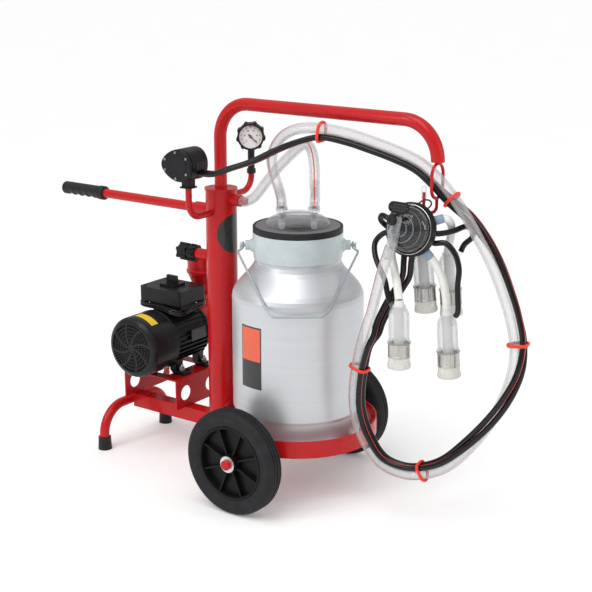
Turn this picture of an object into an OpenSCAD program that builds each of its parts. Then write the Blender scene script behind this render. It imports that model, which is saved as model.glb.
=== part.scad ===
// Portable bucket milking machine on a two-wheeled cart.
// X runs along the cart from the push handle (-X) to the hanging cluster (+X).
// Y runs along the wheel axle, Z is up and the floor is z = 0.

/* [Cart] */
// Height of the base beam's top face
beam_top = 141; // [139:1:143]
// Side of the square base beam
beam_side = 40; // [36:1:44]
// Distance of the can's centre line from the origin
can_x = 168; // [166:1:170]
// Distance of the vacuum tank's centre line from the origin
tank_x = -89; // [-91:1:-87]
// Outside diameter of the vacuum tank
tank_d = 85; // [84:1:86]
// Height of the tank's lid above the floor
tank_top = 795; // [793:1:797]
// Half of the distance between the two rear feet
foot_half = 134; // [130:1:138]
// Diameter of the bent leg tube
leg_d = 28; // [26:1:30]

/* [Wheels] */
// Wheel radius, which is also the axle height
wheel_r = 141; // [140:1:142]
// Tyre width
wheel_w = 52; // [50:1:53]
// Distance of each wheel's middle plane from the centre line
wheel_y = 256; // [255:1:258]
// Axle diameter
axle_d = 27; // [26:0.5:28]

/* [Hanger] */
// Outside diameter of the hanger tube
hanger_d = 34; // [33:0.5:35]
// Height of the hanger tube's top run
hanger_z = 1026; // [1022:1:1030]
// Bend radius of the hanger tube
hanger_bend = 95; // [90:1:98]
// Distance of the hanger's free end from the origin
hanger_end_x = 581; // [579:1:583]

/* [Handle] */
// Height of the push handle's centre line
handle_z = 729; // [727:1:731]
// Diameter of the handle tube
handle_d = 26; // [25:0.5:27]
// Far end of the rubber grip
grip_end_x = -682; // [-685:1:-679]

/* [Motor] */
// Shaft height above the bracket
shaft_h = 98; // [96:1:98]
// Height of the bracket above the beam
bracket_h = 89; // [88:1:90]
// Distance of the motor axis from the origin
motor_x = -316; // [-317:1:-315]
// Radius of the fan cowl
cowl_r = 88; // [87:1:89]

/* [Can] */
// Radius of the can's body
can_r = 175; // [174:1:176]
// Height of the can's lid rim above the floor
lid_z = 724; // [723:1:726]

/* [Claw] */
// Radius of the claw's outer ring
claw_r = 65; // [62:1:66]
// Upward tilt of the claw's face
claw_tilt = 12; // [10:1:14]

/* [Hidden] */
$fn = 64;

gap = 0.05;                      // running and seating clearance
view_turn = 35.8;                // turn of the can's lugs and of the gauge about Z
tank_r = tank_d / 2;
axle_z = wheel_r;
wheel_x = can_x - 20;
leg_x = -432;
bracket_top = beam_top + bracket_h;
motor_z = bracket_top + shaft_h;
cowl_y = -133;                   // outer face of the fan cowl
box_y = 50;                      // middle of the terminal box
box_top = 474;

// ---------------------------------------------------------------- helpers

// Ring profile of a tube
module tube_section(r, wall) {
    difference() {
        circle(r);
        circle(r - wall);
    }
}

// Hollow straight tube along Z
module straight_tube(r, wall, length) {
    linear_extrude(length) tube_section(r, wall);
}

// Hollow bend in the XZ plane: starts going up at the origin and turns towards +X
module bend_tube(r, wall, bend, turn = 90) {
    translate([bend, 0, 0]) rotate([90, 0, 0]) rotate([0, 0, 180 - turn])
        rotate_extrude(angle = turn) translate([bend, 0]) tube_section(r, wall);
}

// Solid round bend with the same path
module bend_rod(r, bend, turn = 90) {
    translate([bend, 0, 0]) rotate([90, 0, 0]) rotate([0, 0, 180 - turn])
        rotate_extrude(angle = turn) translate([bend, 0]) circle(r);
}

// Turns +Z to a given direction
module aim(d) {
    rotate([0, acos(d[2] / norm(d)), atan2(d[1], d[0])]) children();
}

function unit(v) = v / norm(v);

// Smooth curve through hand-set points, with a few steps on each span
function spline_point(p0, p1, p2, p3, t) =
    0.5 * (2 * p1 + (p2 - p0) * t + (2 * p0 - 5 * p1 + 4 * p2 - p3) * t * t
        + (3 * p1 - p0 - 3 * p2 + p3) * t * t * t);
function spline(p, steps) = let (last = len(p) - 1) concat(
    [for (i = [0 : last - 1], s = [0 : steps - 1])
        spline_point(p[max(i - 1, 0)], p[i], p[i + 1], p[min(i + 2, last)], s / steps)],
    [p[last]]);

// Direction of travel at point i of a path
function travel(p, i) = unit(p[min(i + 1, len(p) - 1)] - p[max(i - 1, 0)]);
// Side direction carried along the path without twisting
function carried(p, i, first) = i == 0
    ? unit(first - (first * travel(p, 0)) * travel(p, 0))
    : let (u = carried(p, i - 1, first), t = travel(p, i)) unit(u - (u * t) * t);

// Tube swept along a path as one closed solid
module sweep(p, r, sides, first = [0, 1, 0]) {
    n = len(p);
    rings = [for (i = [0 : n - 1])
        let (u = carried(p, i, first), w = cross(travel(p, i), u))
        for (k = [0 : sides - 1])
            p[i] + r * (cos(360 * k / sides) * u + sin(360 * k / sides) * w)];
    walls = [for (i = [0 : n - 2], k = [0 : sides - 1])
        let (a = i * sides + k, b = i * sides + (k + 1) % sides)
        for (f = [[a, a + sides, b], [b, a + sides, b + sides]]) f];
    start = [for (k = [0 : sides - 1]) k];
    end = [for (k = [sides - 1 : -1 : 0]) (n - 1) * sides + k];
    polyhedron(points = rings, faces = concat([start], walls, [end]), convexity = 10);
}

// ---------------------------------------------------------------- cart frame

beam_start = leg_x + leg_d / 2;
beam_end = wheel_x + 40;

module base_beam() {
    color("red") difference() {
        translate([beam_start, -beam_side / 2, beam_top - beam_side])
            cube([beam_end - beam_start, beam_side, beam_side]);
        translate([beam_start + 3, -beam_side / 2 + 2.5, beam_top - beam_side + 2.5])
            cube([beam_end - beam_start - 6, beam_side - 5, beam_side - 5]);
        translate([wheel_x, 0, axle_z]) rotate([90, 0, 0])
            cylinder(r = axle_d / 2 + gap, h = beam_side + 2, center = true);
    }
}

leg_bend = 78;
leg_z = beam_top - beam_side / 2;
foot_h = 38;
foot_seat = 6;                   // rubber under the end of the leg tube

module rear_leg_side() {
    translate([leg_x, -foot_half, foot_seat])
        cylinder(d = leg_d, h = leg_z - leg_bend - foot_seat);
    translate([leg_x, -foot_half, leg_z - leg_bend]) rotate([0, 0, 90])
        bend_rod(leg_d / 2, leg_bend);
}

module rear_legs() {
    color("red") {
        rear_leg_side();
        mirror([0, 1, 0]) rear_leg_side();
        translate([leg_x, foot_half - leg_bend, leg_z]) rotate([90, 0, 0])
            cylinder(d = leg_d, h = 2 * (foot_half - leg_bend));
    }
}

module foot_caps() {
    color("black") for (side = [-1, 1]) translate([leg_x, side * foot_half, 0])
        difference() {
            cylinder(d1 = 40, d2 = 36, h = foot_h);
            translate([0, 0, foot_seat]) cylinder(d = leg_d + 2 * gap, h = foot_h);
        }
}

// ---------------------------------------------------------------- wheels

rim_r = 99;                      // where the tyre starts
hub_r = 24;
rib_count = 8;

module tyre_at(side) {
    half = wheel_w / 2;
    color("dimgray") translate([wheel_x, side * wheel_y, axle_z]) rotate([90, 0, 0])
        rotate_extrude($fn = 96) polygon([
            [rim_r, -half + 6], [rim_r + 8, -half + 2], [wheel_r - 14, -half],
            [wheel_r - 4, -half + 5], [wheel_r, -half + 14],
            [wheel_r, -4], [wheel_r - 3, -3], [wheel_r - 3, 3], [wheel_r, 4],
            [wheel_r, half - 14], [wheel_r - 4, half - 5], [wheel_r - 14, half],
            [rim_r + 8, half - 2], [rim_r, half - 6]]);
}

module rim_at(side) {
    half = wheel_w / 2 - 6;
    bore = axle_d / 2 + gap;
    color("black") translate([wheel_x, side * wheel_y, axle_z]) rotate([90, 0, 0])
        difference() {
            union() {
                rotate_extrude($fn = 96) polygon([
                    [rim_r, -half], [rim_r, half], [rim_r - 7, half], [rim_r - 10, 4],
                    [hub_r, 4], [hub_r, half + 4], [bore, half + 4], [bore, -half - 4],
                    [hub_r, -half - 4], [hub_r, -4], [rim_r - 10, -4], [rim_r - 7, -half]]);
                for (i = [0 : rib_count - 1]) rotate([0, 0, (i + 0.5) * 360 / rib_count])
                    translate([(hub_r + rim_r) / 2 - 4, 0, 0])
                        cube([rim_r - hub_r - 9, 4, 2 * half - 4], center = true);
            }
            cylinder(r = bore, h = 3 * wheel_w, center = true);
        }
}

axle_reach = wheel_y + wheel_w / 2 + 10;

module axle() {
    color("red") translate([wheel_x, 0, axle_z]) rotate([90, 0, 0])
        cylinder(d = axle_d, h = 2 * axle_reach, center = true);
}

module axle_washers() {
    color("lightgray") for (side = [-1, 1], face = [-1, 1])
        translate([wheel_x, side * wheel_y + face * (wheel_w / 2 + 0.3), axle_z])
            rotate([-90 * face, 0, 0]) difference() {
                cylinder(d = 44, h = 3);
                translate([0, 0, -1]) cylinder(r = axle_d / 2 + gap, h = 5);
            }
}

// ---------------------------------------------------------------- tank and tubes

nipple_z = 765;
branch_r = 8.5;
pulsator_pipe_z = 731;
gauge_pipe_z = 768;
stem_y = 135;                    // reach of both branch pipes from the tank's axis
stem_top = 814;
regulator_z = 598;
socket_reach = 45;

module vacuum_tank() {
    wall = 3;
    color("red") difference() {
        translate([tank_x, 0, 0]) union() {
            translate([0, 0, beam_top]) cylinder(r = tank_r, h = tank_top - 6 - beam_top);
            translate([0, 0, tank_top - 6]) cylinder(r = tank_r + 2.5, h = 6);
            translate([0, 0, handle_z]) rotate([0, -90, 0])
                cylinder(d = 34, h = tank_r + socket_reach);
            translate([0, 0, nipple_z]) rotate([0, 90, 0]) cylinder(d = 32, h = tank_r + 26);
            translate([0, 0, nipple_z]) rotate([0, 90, 0]) cylinder(d = 20, h = tank_r + 44);
            translate([0, 0, regulator_z]) rotate([0, -90, 0])
                cylinder(d = 32, h = tank_r + 44);
        }
        translate([tank_x, 0, beam_top + wall])
            cylinder(r = tank_r - wall, h = tank_top - beam_top - 6 - wall);
        translate([tank_x - tank_r - 10, 0, handle_z]) rotate([0, -90, 0])
            cylinder(r = handle_d / 2 + gap, h = socket_reach);
        translate([tank_x + tank_r - 5, 0, nipple_z]) rotate([0, 90, 0])
            cylinder(d = 14, h = 80);
        translate([tank_x - tank_r + 5, 0, regulator_z]) rotate([0, -90, 0])
            cylinder(d = 22, h = 60);
    }
}

module hanger_tube() {
    wall = 2.5;
    r = hanger_d / 2;
    run = hanger_end_x - tank_x - 2 * hanger_bend;
    color("red") {
        translate([tank_x, 0, tank_top])
            straight_tube(r, wall, hanger_z - hanger_bend - tank_top);
        translate([tank_x, 0, hanger_z - hanger_bend]) bend_tube(r, wall, hanger_bend);
        translate([tank_x + hanger_bend, 0, hanger_z]) rotate([0, 90, 0])
            straight_tube(r, wall, run);
        translate([hanger_end_x, 0, hanger_z - hanger_bend]) mirror([1, 0, 0])
            bend_tube(r, wall, hanger_bend);
    }
}

wire_r = 4;
eye_half_w = 27;                 // middle of the wire to the eye's centre line
eye_half_h = 42;
eye_z = hanger_z - hanger_bend - eye_half_h - wire_r;
hook_bend = 18;
hook_drop = 20;
hook_rise = 30;

module hose_eye() {
    straight = eye_half_h - eye_half_w;
    color("red") translate([hanger_end_x, 0, eye_z]) {
        for (up = [0, 1]) rotate([up * 180, 0, 0]) translate([0, 0, straight])
            rotate([0, -90, 0]) rotate([0, 0, -90])
                rotate_extrude(angle = 180) translate([eye_half_w, 0]) circle(wire_r);
        for (side = [-1, 1]) translate([0, side * eye_half_w, -straight])
            cylinder(r = wire_r, h = 2 * straight);
        translate([0, 0, -eye_half_h - hook_drop]) cylinder(r = wire_r, h = hook_drop);
        translate([0, 0, -eye_half_h - hook_drop]) rotate([0, 180, 0])
            bend_rod(wire_r, hook_bend, 180);
        translate([-2 * hook_bend, 0, -eye_half_h - hook_drop])
            cylinder(r = wire_r, h = hook_rise);
    }
}

module handle_tube() {
    start = tank_x - tank_r - 11;
    color("red") translate([start, 0, handle_z]) rotate([0, -90, 0])
        straight_tube(handle_d / 2, 2.5, start - grip_end_x - 8);
}

grip_len = 161;

module handle_grip() {
    r = 18;
    waist = 15.5;
    finger = 27;
    lobes = 4;
    lobe_start = 18;
    outline = concat(
        [[handle_d / 2 + gap, 8], [0, 8], [0, 0], [r - 4, 0], [r, 4], [r, lobe_start]],
        [for (i = [0 : lobes - 1], s = [1 : 6])
            [s == 6 ? r : waist + (r - waist) * pow(2 * s / 6 - 1, 2),
                lobe_start + finger * (i + s / 6)]],
        [[r, grip_len - 26], [20, grip_len - 20], [20, grip_len - 2],
            [18, grip_len], [handle_d / 2 + gap, grip_len]]);
    color("black") translate([grip_end_x, 0, handle_z]) rotate([0, 90, 0])
        rotate_extrude() polygon(outline);
}

// ---------------------------------------------------------------- can carrier

ring_r = 214;
ring_t = 4;
ring_z = axle_z + axle_d / 2 + gap;
ring_h = 46;
seat_t = 6;

module can_ring() {
    color("red") {
        translate([can_x, 0, ring_z]) difference() {
            cylinder(r = ring_r, h = ring_h, $fn = 128);
            translate([0, 0, -1]) cylinder(r = ring_r - ring_t, h = ring_h + 2, $fn = 128);
        }
        translate([can_x, 0, ring_z + seat_t / 2]) intersection() {
            union() {
                cube([2 * ring_r, 70, seat_t], center = true);
                cube([70, 2 * ring_r, seat_t], center = true);
            }
            cylinder(r = ring_r - 1, h = seat_t, center = true, $fn = 128);
        }
        translate([can_x - 170, -20, beam_top]) cube([40, 40, ring_z - beam_top]);
        translate([beam_end - 22, -20, beam_top]) cube([22, 40, ring_z - beam_top]);
    }
}

// ---------------------------------------------------------------- motor

bracket_len = 200;
bracket_y0 = -58;
bracket_y1 = 136;
plate_t = 4;
foot_pitch_x = 140;
foot_y = [3, 103];

module motor_bracket() {
    w = bracket_y1 - bracket_y0;
    mid = (bracket_y0 + bracket_y1) / 2;
    color("red") difference() {
        union() {
            translate([motor_x - bracket_len / 2, bracket_y0, bracket_top - plate_t])
                cube([bracket_len, w, plate_t]);
            for (side = [-1, 1])
                translate([motor_x + side * (bracket_len - plate_t) / 2, mid,
                    (beam_top + bracket_top) / 2])
                    cube([plate_t, w, bracket_h], center = true);
        }
        translate([motor_x - 45, bracket_y0 + 30, bracket_top - 10]) cube([90, w - 60, 20]);
        for (y = [bracket_y0 + 42, bracket_y1 - 42])
            translate([motor_x, y, beam_top + 42]) rotate([0, 90, 0])
                cylinder(d = 44, h = bracket_len + 10, center = true);
        for (side = [-1, 1], y = foot_y)
            translate([motor_x + side * foot_pitch_x / 2, y, bracket_top - 10])
                cylinder(d = 11, h = 20);
    }
}

body_r = 77;
fin_r = 85;
bore_r = 66;
housing_y0 = -58;
housing_y1 = 112;

// Finned shell of the housing
module housing_ring() {
    circle(body_r, $fn = 96);
    for (a = [-40 : 10 : 50], side = [0, 1])
        mirror([side, 0]) rotate(a) translate([body_r - 5, -1.5])
            square([fin_r - body_r + 5, 3]);
}

// Foot web on one side, down to the bracket
module foot_web() {
    polygon([[38, -60], [62, -45], [58, -shaft_h + 12], [90, -shaft_h + 12],
        [90, -shaft_h], [50, -shaft_h], [38, -shaft_h + 12]]);
}

module motor_housing() {
    color("black") difference() {
        union() {
            translate([motor_x, housing_y1, motor_z]) rotate([90, 0, 0])
                linear_extrude(housing_y1 - housing_y0) housing_ring();
            translate([motor_x - 38, box_y - 43, motor_z]) cube([76, 86, 84]);
            for (side = [0, 1], y = foot_y)
                translate([motor_x, min(y + 16, housing_y1), motor_z]) rotate([90, 0, 0])
                    mirror([side, 0, 0]) linear_extrude(min(y + 16, housing_y1) - y + 16)
                        foot_web();
        }
        translate([motor_x, housing_y1 + 1, motor_z]) rotate([90, 0, 0])
            cylinder(r = bore_r, h = housing_y1 - housing_y0 + 2, $fn = 96);
        for (side = [-1, 1], y = foot_y)
            translate([motor_x + side * foot_pitch_x / 2, y, bracket_top - 1])
                cylinder(d = 10, h = 40);
    }
}

shaft_r = 12;

module drive_shield() {
    color("black") translate([motor_x, housing_y1 + 24, motor_z]) rotate([90, 0, 0])
        rotate_extrude($fn = 96) polygon([
            [shaft_r + gap, 0], [60, 0], [60, 8], [80, 16], [80, 24], [bore_r - gap, 24],
            [bore_r - gap, 30], [bore_r - 6, 30], [bore_r - 6, 18], [shaft_r + gap, 10]]);
}

module motor_bolts() {
    color("silver") for (side = [-1, 1], y = foot_y)
        translate([motor_x + side * foot_pitch_x / 2, y, bracket_top - 14]) {
            cylinder(d = 8, h = 42);
            translate([0, 0, 26]) cylinder(d = 18, h = 2);
            translate([0, 0, 28]) cylinder(d = 15, h = 7, $fn = 6);
            translate([0, 0, 4]) cylinder(d = 15, h = 6, $fn = 6);
        }
}

module stator() {
    color("orange") translate([motor_x, 92, motor_z]) rotate([90, 0, 0]) difference() {
        union() {
            translate([0, 0, 18]) cylinder(r = bore_r - gap, h = 84, $fn = 96);
            cylinder(r = bore_r - 9, h = 120, $fn = 96);
        }
        translate([0, 0, -1]) cylinder(r = 42, h = 122);
    }
}

pump_y0 = housing_y1 + 24;
pump_len = 92;
pump_r = 62;
chamber_r = 44;
pump_offset = 7;
rotor_r = 36;

module rotor_shaft() {
    color("silver") translate([motor_x, 0, motor_z]) rotate([-90, 0, 0]) {
        translate([0, 0, cowl_y + 14]) cylinder(r = shaft_r - 4, h = 47);
        translate([0, 0, cowl_y + 61]) cylinder(r = shaft_r, h = pump_y0 + 14 - cowl_y - 61);
        translate([0, 0, -10]) cylinder(r = 41, h = 84);
    }
}

grille_r = 80;
grille_t = 2.5;
fan_y = cowl_y + 12;

// Slot between two radii and two angles
function arc(r, a0, a1, n) = [for (k = [0 : n]) let (a = a0 + (a1 - a0) * k / n)
    [r * cos(a), r * sin(a)]];
module slot(r0, r1, a0, a1) {
    polygon(concat(arc(r0, a0, a1, 3), arc(r1, a1, a0, 3)));
}

module grille_section() {
    difference() {
        circle(grille_r, $fn = 96);
        for (row = [0 : 4]) {
            r0 = 15 + row * 12.8;
            count = 8 + row * 4;
            for (i = [0 : count - 1]) {
                bridge = 3 * 57.3 / (r0 + 4);
                slot(r0, r0 + 9.3, i * 360 / count + bridge / 2,
                    (i + 1) * 360 / count - bridge / 2);
            }
        }
    }
}

module fan_cowl() {
    wall = 2;
    depth = housing_y0 + 22 - cowl_y;
    round_r = 14;
    outer = [for (a = [0 : 15 : 90])
        [cowl_r - round_r + round_r * cos(a), round_r - round_r * sin(a)]];
    inner = [for (a = [90 : -15 : 0])
        [cowl_r - round_r + (round_r - wall) * cos(a), round_r - (round_r - wall) * sin(a)]];
    color("black") translate([motor_x, cowl_y, motor_z]) rotate([-90, 0, 0]) {
        rotate_extrude($fn = 96) polygon(concat([[cowl_r, depth]], outer,
            [[70, 0], [70, wall]], inner, [[cowl_r - wall, depth]]));
        linear_extrude(grille_t) intersection() {
            grille_section();
            circle(cowl_r - round_r, $fn = 96);
        }
    }
}

module cooling_fan() {
    blades = 7;
    color("dimgray") translate([motor_x, fan_y, motor_z]) rotate([-90, 0, 0])
        difference() {
            union() {
                cylinder(r = 20, h = 30);
                translate([0, 0, 24]) cylinder(r = 66, h = 3);
                for (i = [0 : blades - 1]) rotate([0, 0, i * 360 / blades])
                    translate([18, -1.5, 2]) cube([50, 3, 23]);
            }
            translate([0, 0, -1]) cylinder(r = shaft_r - 4 + gap, h = 40);
        }
}

// ---------------------------------------------------------------- terminal box and cord

box_x = 150;
box_d = 118;
box_z0 = 433;
neck_x = 116;
neck_d = 86;
neck_z0 = motor_z + 84;

module rounded_block(x, y, z, r) {
    linear_extrude(z) union() {
        square([x - 2 * r, y], center = true);
        square([x, y - 2 * r], center = true);
        for (i = [-1, 1], j = [-1, 1]) translate([i * (x / 2 - r), j * (y / 2 - r)]) circle(r);
    }
}

module terminal_box() {
    wall = 3;
    color("black") translate([motor_x, box_y, 0]) difference() {
        union() {
            translate([0, 0, neck_z0]) rounded_block(neck_x, neck_d, box_z0 - neck_z0, 12);
            translate([0, 0, box_z0]) rounded_block(box_x, box_d, box_top - 12 - box_z0, 8);
        }
        translate([0, 0, box_z0 + wall])
            rounded_block(box_x - 2 * wall, box_d - 2 * wall, 60, 5);
        translate([0, 0, neck_z0 - 1]) cylinder(d = 50, h = 60);
        translate([-40, box_d / 2 + 5, 449]) rotate([90, 0, 0]) cylinder(d = 16, h = 20);
    }
}

module terminal_lid() {
    color("black") translate([motor_x, box_y, box_top - 12]) difference() {
        union() {
            rounded_block(box_x, box_d, 12, 8);
            translate([0, 0, 12]) rounded_block(54, 54, 7, 3);
            for (i = [-1, 1], j = [-1, 1])
                translate([i * (box_x / 2 - 12), j * (box_d / 2 - 12), 12])
                    cylinder(d = 9, h = 1.5);
        }
        translate([0, 0, -1]) rounded_block(box_x - 8, box_d - 8, 9, 5);
        translate([0, 0, -1]) cylinder(d = 14, h = 30);
    }
}

module switch_knob() {
    color("black") translate([motor_x, box_y, box_top]) {
        translate([0, 0, -10]) cylinder(d = 14 - 2 * gap, h = 17);
        translate([0, 0, 7.3]) cylinder(d = 36, h = 5);
        translate([-18, -5, 12.3]) cube([36, 10, 17]);
    }
}

gland_x = motor_x - 40;
gland_y = box_y + box_d / 2;
gland_z = 449;
cord_r = 3.5;

module cord_gland() {
    color("black") translate([gland_x, gland_y, gland_z]) rotate([-90, 0, 0]) {
        translate([0, 0, -8]) cylinder(d = 16 - 2 * gap, h = 8);
        cylinder(d = 22, h = 8, $fn = 6);
        translate([0, 0, 8]) cylinder(d1 = 18, d2 = 9, h = 20);
    }
}

// The mains lead: out of the gland, over and down into the coil round the box's neck,
// then out of the coil's rear corner to the plug that hangs behind the motor.
lead_route = [
    [-356, 137, 449], [-357, 146, 447], [-361, 152, 440], [-367, 150, 431],
    [-371, 138, 425], [-373, 124, 423], [-373, 108, 423]];
tail_route = [
    [-382, 90, 422], [-396, 96, 421], [-410, 100, 415], [-420, 102, 402], [-424, 102, 386],
    [-425, 102, 368], [-425, 102, 352], [-425, 102, 336]];
coil_x = 158;
coil_y = 126;
coil_z0 = 414.2;

module power_cord() {
    color("black") {
        sweep(spline(lead_route, 2), cord_r, 8);
        sweep(spline(tail_route, 2), cord_r, 8);
    }
}

module cord_coil() {
    color("black") translate([motor_x, box_y, 0]) difference() {
        translate([0, 0, coil_z0]) rounded_block(coil_x + 9, coil_y + 9, 18, 36);
        translate([0, 0, coil_z0 - 1]) rounded_block(coil_x - 9, coil_y - 9, 20, 28);
    }
}

module power_plug() {
    color("black") translate([-425, 102, 336]) rotate([180, 0, 0]) {
        cylinder(d1 = 11, d2 = 16, h = 14);
        translate([0, 0, 14]) cylinder(d1 = 24, d2 = 36, h = 18);
        translate([0, 0, 32]) cylinder(d = 36, h = 12);
        for (side = [-1, 1]) translate([0, side * 9.5, 44]) cylinder(d = 4.8, h = 19);
    }
}

// ---------------------------------------------------------------- vacuum pump

port_y = pump_y0 + 50;

module pump_housing() {
    color("red") difference() {
        union() {
            translate([motor_x, pump_y0, motor_z]) rotate([-90, 0, 0])
                cylinder(r = pump_r, h = pump_len, $fn = 96);
            translate([motor_x, port_y, motor_z]) cylinder(d = 38, h = pump_r + 12);
            translate([motor_x, port_y, motor_z]) rotate([0, 90, 0])
                cylinder(d = 38, h = pump_r + 12);
        }
        translate([motor_x, pump_y0 + 10, motor_z - pump_offset]) rotate([-90, 0, 0])
            cylinder(r = chamber_r, h = pump_len, $fn = 96);
        translate([motor_x, pump_y0 - 1, motor_z]) rotate([-90, 0, 0])
            cylinder(r = shaft_r + 1, h = 20);
        translate([motor_x, port_y, motor_z + 20]) cylinder(d = 24, h = pump_r);
        translate([motor_x + 20, port_y, motor_z]) rotate([0, 90, 0])
            cylinder(d = 24, h = pump_r);
    }
}

module pump_cover() {
    color("red") translate([motor_x, pump_y0 + pump_len, motor_z]) rotate([-90, 0, 0]) {
        cylinder(r = pump_r, h = 10, $fn = 96);
        translate([0, 0, 10]) cylinder(r = 30, h = 8);
        for (i = [0 : 5]) rotate([0, 0, i * 60 + 30]) translate([pump_r - 9, 0, 10])
            cylinder(d = 11, h = 5, $fn = 6);
    }
}

module pump_rotor() {
    vanes = 4;
    length = pump_len - 12;
    color("gray") translate([motor_x, pump_y0 + 11, motor_z]) rotate([-90, 0, 0])
        difference() {
            cylinder(r = rotor_r, h = length, $fn = 96);
            translate([0, 0, -1]) cylinder(r = shaft_r + gap, h = 5);
            for (i = [0 : vanes - 1]) rotate([0, 0, i * 360 / vanes])
                translate([20, -1, -1]) cube([30, 2, length + 2]);
        }
}

silencer_z0 = 428;
silencer_top = 540;
silencer_r = 47;

module silencer() {
    neck = motor_z + pump_r + 12;
    color("red") translate([motor_x, port_y, 0]) difference() {
        rotate_extrude($fn = 96) polygon([
            [0, neck], [15, neck], [15, neck + 14], [34, silencer_z0 + 6],
            [34, silencer_z0 + 30], [silencer_r - 3, silencer_z0 + 56],
            [silencer_r, silencer_z0 + 58], [silencer_r, silencer_z0 + 66],
            [silencer_r - 3, silencer_z0 + 68], [silencer_r - 3, silencer_top - 6],
            [silencer_r - 9, silencer_top], [0, silencer_top]]);
        translate([0, 0, silencer_z0 + 10]) cylinder(r = 30, h = 60);
        translate([0, 0, silencer_z0 + 60]) cylinder(r = silencer_r - 6, h = 44);
    }
}

suction_bend = 50;

module suction_pipe() {
    r = 13.5;
    color("red") difference() {
        union() {
            translate([tank_x, port_y - suction_bend, motor_z]) rotate([90, 0, 0])
                cylinder(r = r, h = port_y - suction_bend - 10);
            translate([tank_x, port_y - suction_bend, motor_z]) rotate([-90, 0, 0])
                rotate([0, 0, 180]) bend_rod(r, suction_bend);
            translate([tank_x - suction_bend, port_y, motor_z]) rotate([0, -90, 0])
                cylinder(r = r, h = tank_x - suction_bend - motor_x - pump_r - 12);
        }
        translate([tank_x, 0, beam_top]) cylinder(r = tank_r + gap, h = tank_top);
    }
}

// ---------------------------------------------------------------- regulator

regulator_x = tank_x - tank_r - 44;

module regulator_body() {
    color("black") translate([regulator_x, 0, regulator_z]) rotate([0, -90, 0])
        difference() {
            union() {
                cylinder(d = 42, h = 26);
                for (i = [0 : 7]) rotate([0, 0, i * 45]) translate([19, -3, 4])
                    cube([6, 6, 18]);
                cylinder(d = 20, h = 56);
            }
            translate([0, 0, -1]) cylinder(d = 12, h = 30);
        }
}

module regulator_knob() {
    lobes = 6;
    color("black") translate([regulator_x - 29, 0, regulator_z]) rotate([0, -90, 0])
        difference() {
            union() {
                cylinder(d = 40, h = 32);
                for (i = [0 : lobes - 1]) rotate([0, 0, i * 360 / lobes])
                    translate([20, 0, 0]) cylinder(d = 11, h = 32);
            }
            translate([0, 0, -1]) cylinder(r = 10 + gap, h = 28.5);
        }
}

// ---------------------------------------------------------------- pulsator and gauge

stem_bend = 42;

module branch_pipe(z) {
    difference() {
        union() {
            translate([0, -10, z]) rotate([90, 0, 0])
                cylinder(r = branch_r, h = stem_y - stem_bend - 10);
            translate([0, -stem_y, z + stem_bend]) rotate([0, 0, 90]) mirror([0, 0, 1])
                bend_rod(branch_r, stem_bend);
            translate([0, -stem_y, z + stem_bend]) cylinder(r = branch_r,
                h = stem_top - z - stem_bend);
        }
        translate([0, 0, z - 20]) cylinder(r = tank_r + gap, h = 40);
    }
}

module branch_pipes() {
    color("red") translate([tank_x, 0, 0]) {
        branch_pipe(pulsator_pipe_z);
        mirror([0, 1, 0]) branch_pipe(gauge_pipe_z);
    }
}

pulsator_z = 879;
pulsator_face = -182;
pulsator_back = -110;

// Egg outline, blunt to +X
function egg(w, h, n) = [for (k = [0 : n - 1]) let (a = 360 * k / n)
    [w / 2 * cos(a), h / 2 * sin(a) * (1 + 0.22 * cos(a))]];

module pulsator_body() {
    color("black") {
        translate([tank_x, -stem_y, stem_top]) rounded_block(34, 34, 4, 3);
        translate([tank_x, -stem_y, stem_top + 4]) rounded_block(27, 27, 36, 3);
        translate([tank_x - 3, pulsator_back, pulsator_z]) rotate([90, 0, 0])
            linear_extrude(pulsator_back - pulsator_face - 10) polygon(egg(100, 84, 48));
        for (z = [-9, 9]) translate([tank_x + 38, -stem_y + z, 858]) rotate([0, 90, 0])
            cylinder(d = 9, h = 34);
    }
}

module pulsator_cover() {
    color("black") translate([tank_x - 3, pulsator_face + 9.9, pulsator_z])
        rotate([90, 0, 0]) linear_extrude(9.9) polygon(egg(100, 84, 48));
}

gauge_z = 919;
gauge_r = 34;

module gauge_place() {
    translate([tank_x, stem_y, gauge_z]) rotate([90, 0, view_turn]) children();
}

module gauge_case() {
    color("silver") gauge_place() difference() {
        cylinder(r = gauge_r, h = 28);
        translate([0, 0, 20]) cylinder(r = gauge_r - 2, h = 10);
    }
    color("black") translate([tank_x, stem_y, 0]) {
        translate([0, 0, stem_top]) cylinder(d = 23, h = 5);
        translate([0, 0, stem_top + 5]) cylinder(d = 19, h = 60);
    }
    color("silver") gauge_place() translate([0, 0, 19]) cylinder(r = 1.5, h = 6);
}

module gauge_boot() {
    lobes = 9;
    color("black") gauge_place() difference() {
        union() {
            translate([0, 0, -4]) cylinder(r = 37, h = 33);
            for (i = [0 : lobes - 1]) rotate([0, 0, i * 360 / lobes - 88])
                translate([34.5, 0, -3]) cylinder(r = 6.5, h = 31);
        }
        cylinder(r = gauge_r + gap, h = 40);
        translate([-9.6, -60, -5]) cube([19.2, 40, 16]);
    }
}

needle_rest = -45;

module gauge_needle() {
    color("black") gauge_place() translate([0, 0, 22.5]) rotate([0, 0, needle_rest])
        difference() {
            union() {
                cylinder(r = 3.5, h = 1.6);
                linear_extrude(1.2)
                    polygon([[-9, -1.6], [24, -0.5], [24, 0.5], [-9, 1.6]]);
            }
            translate([0, 0, -1]) cylinder(r = 1.5 + gap, h = 4);
        }
}

// ---------------------------------------------------------------- milk can

can_z0 = ring_z + seat_t;
shoulder_z = 536;
neck_r = 113;
neck_z = 640;
collar_top = 708;
lug_z = 670;
lug_reach = 150;

module can_place() {
    translate([can_x, 0, 0]) rotate([0, 0, view_turn]) children();
}

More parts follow.
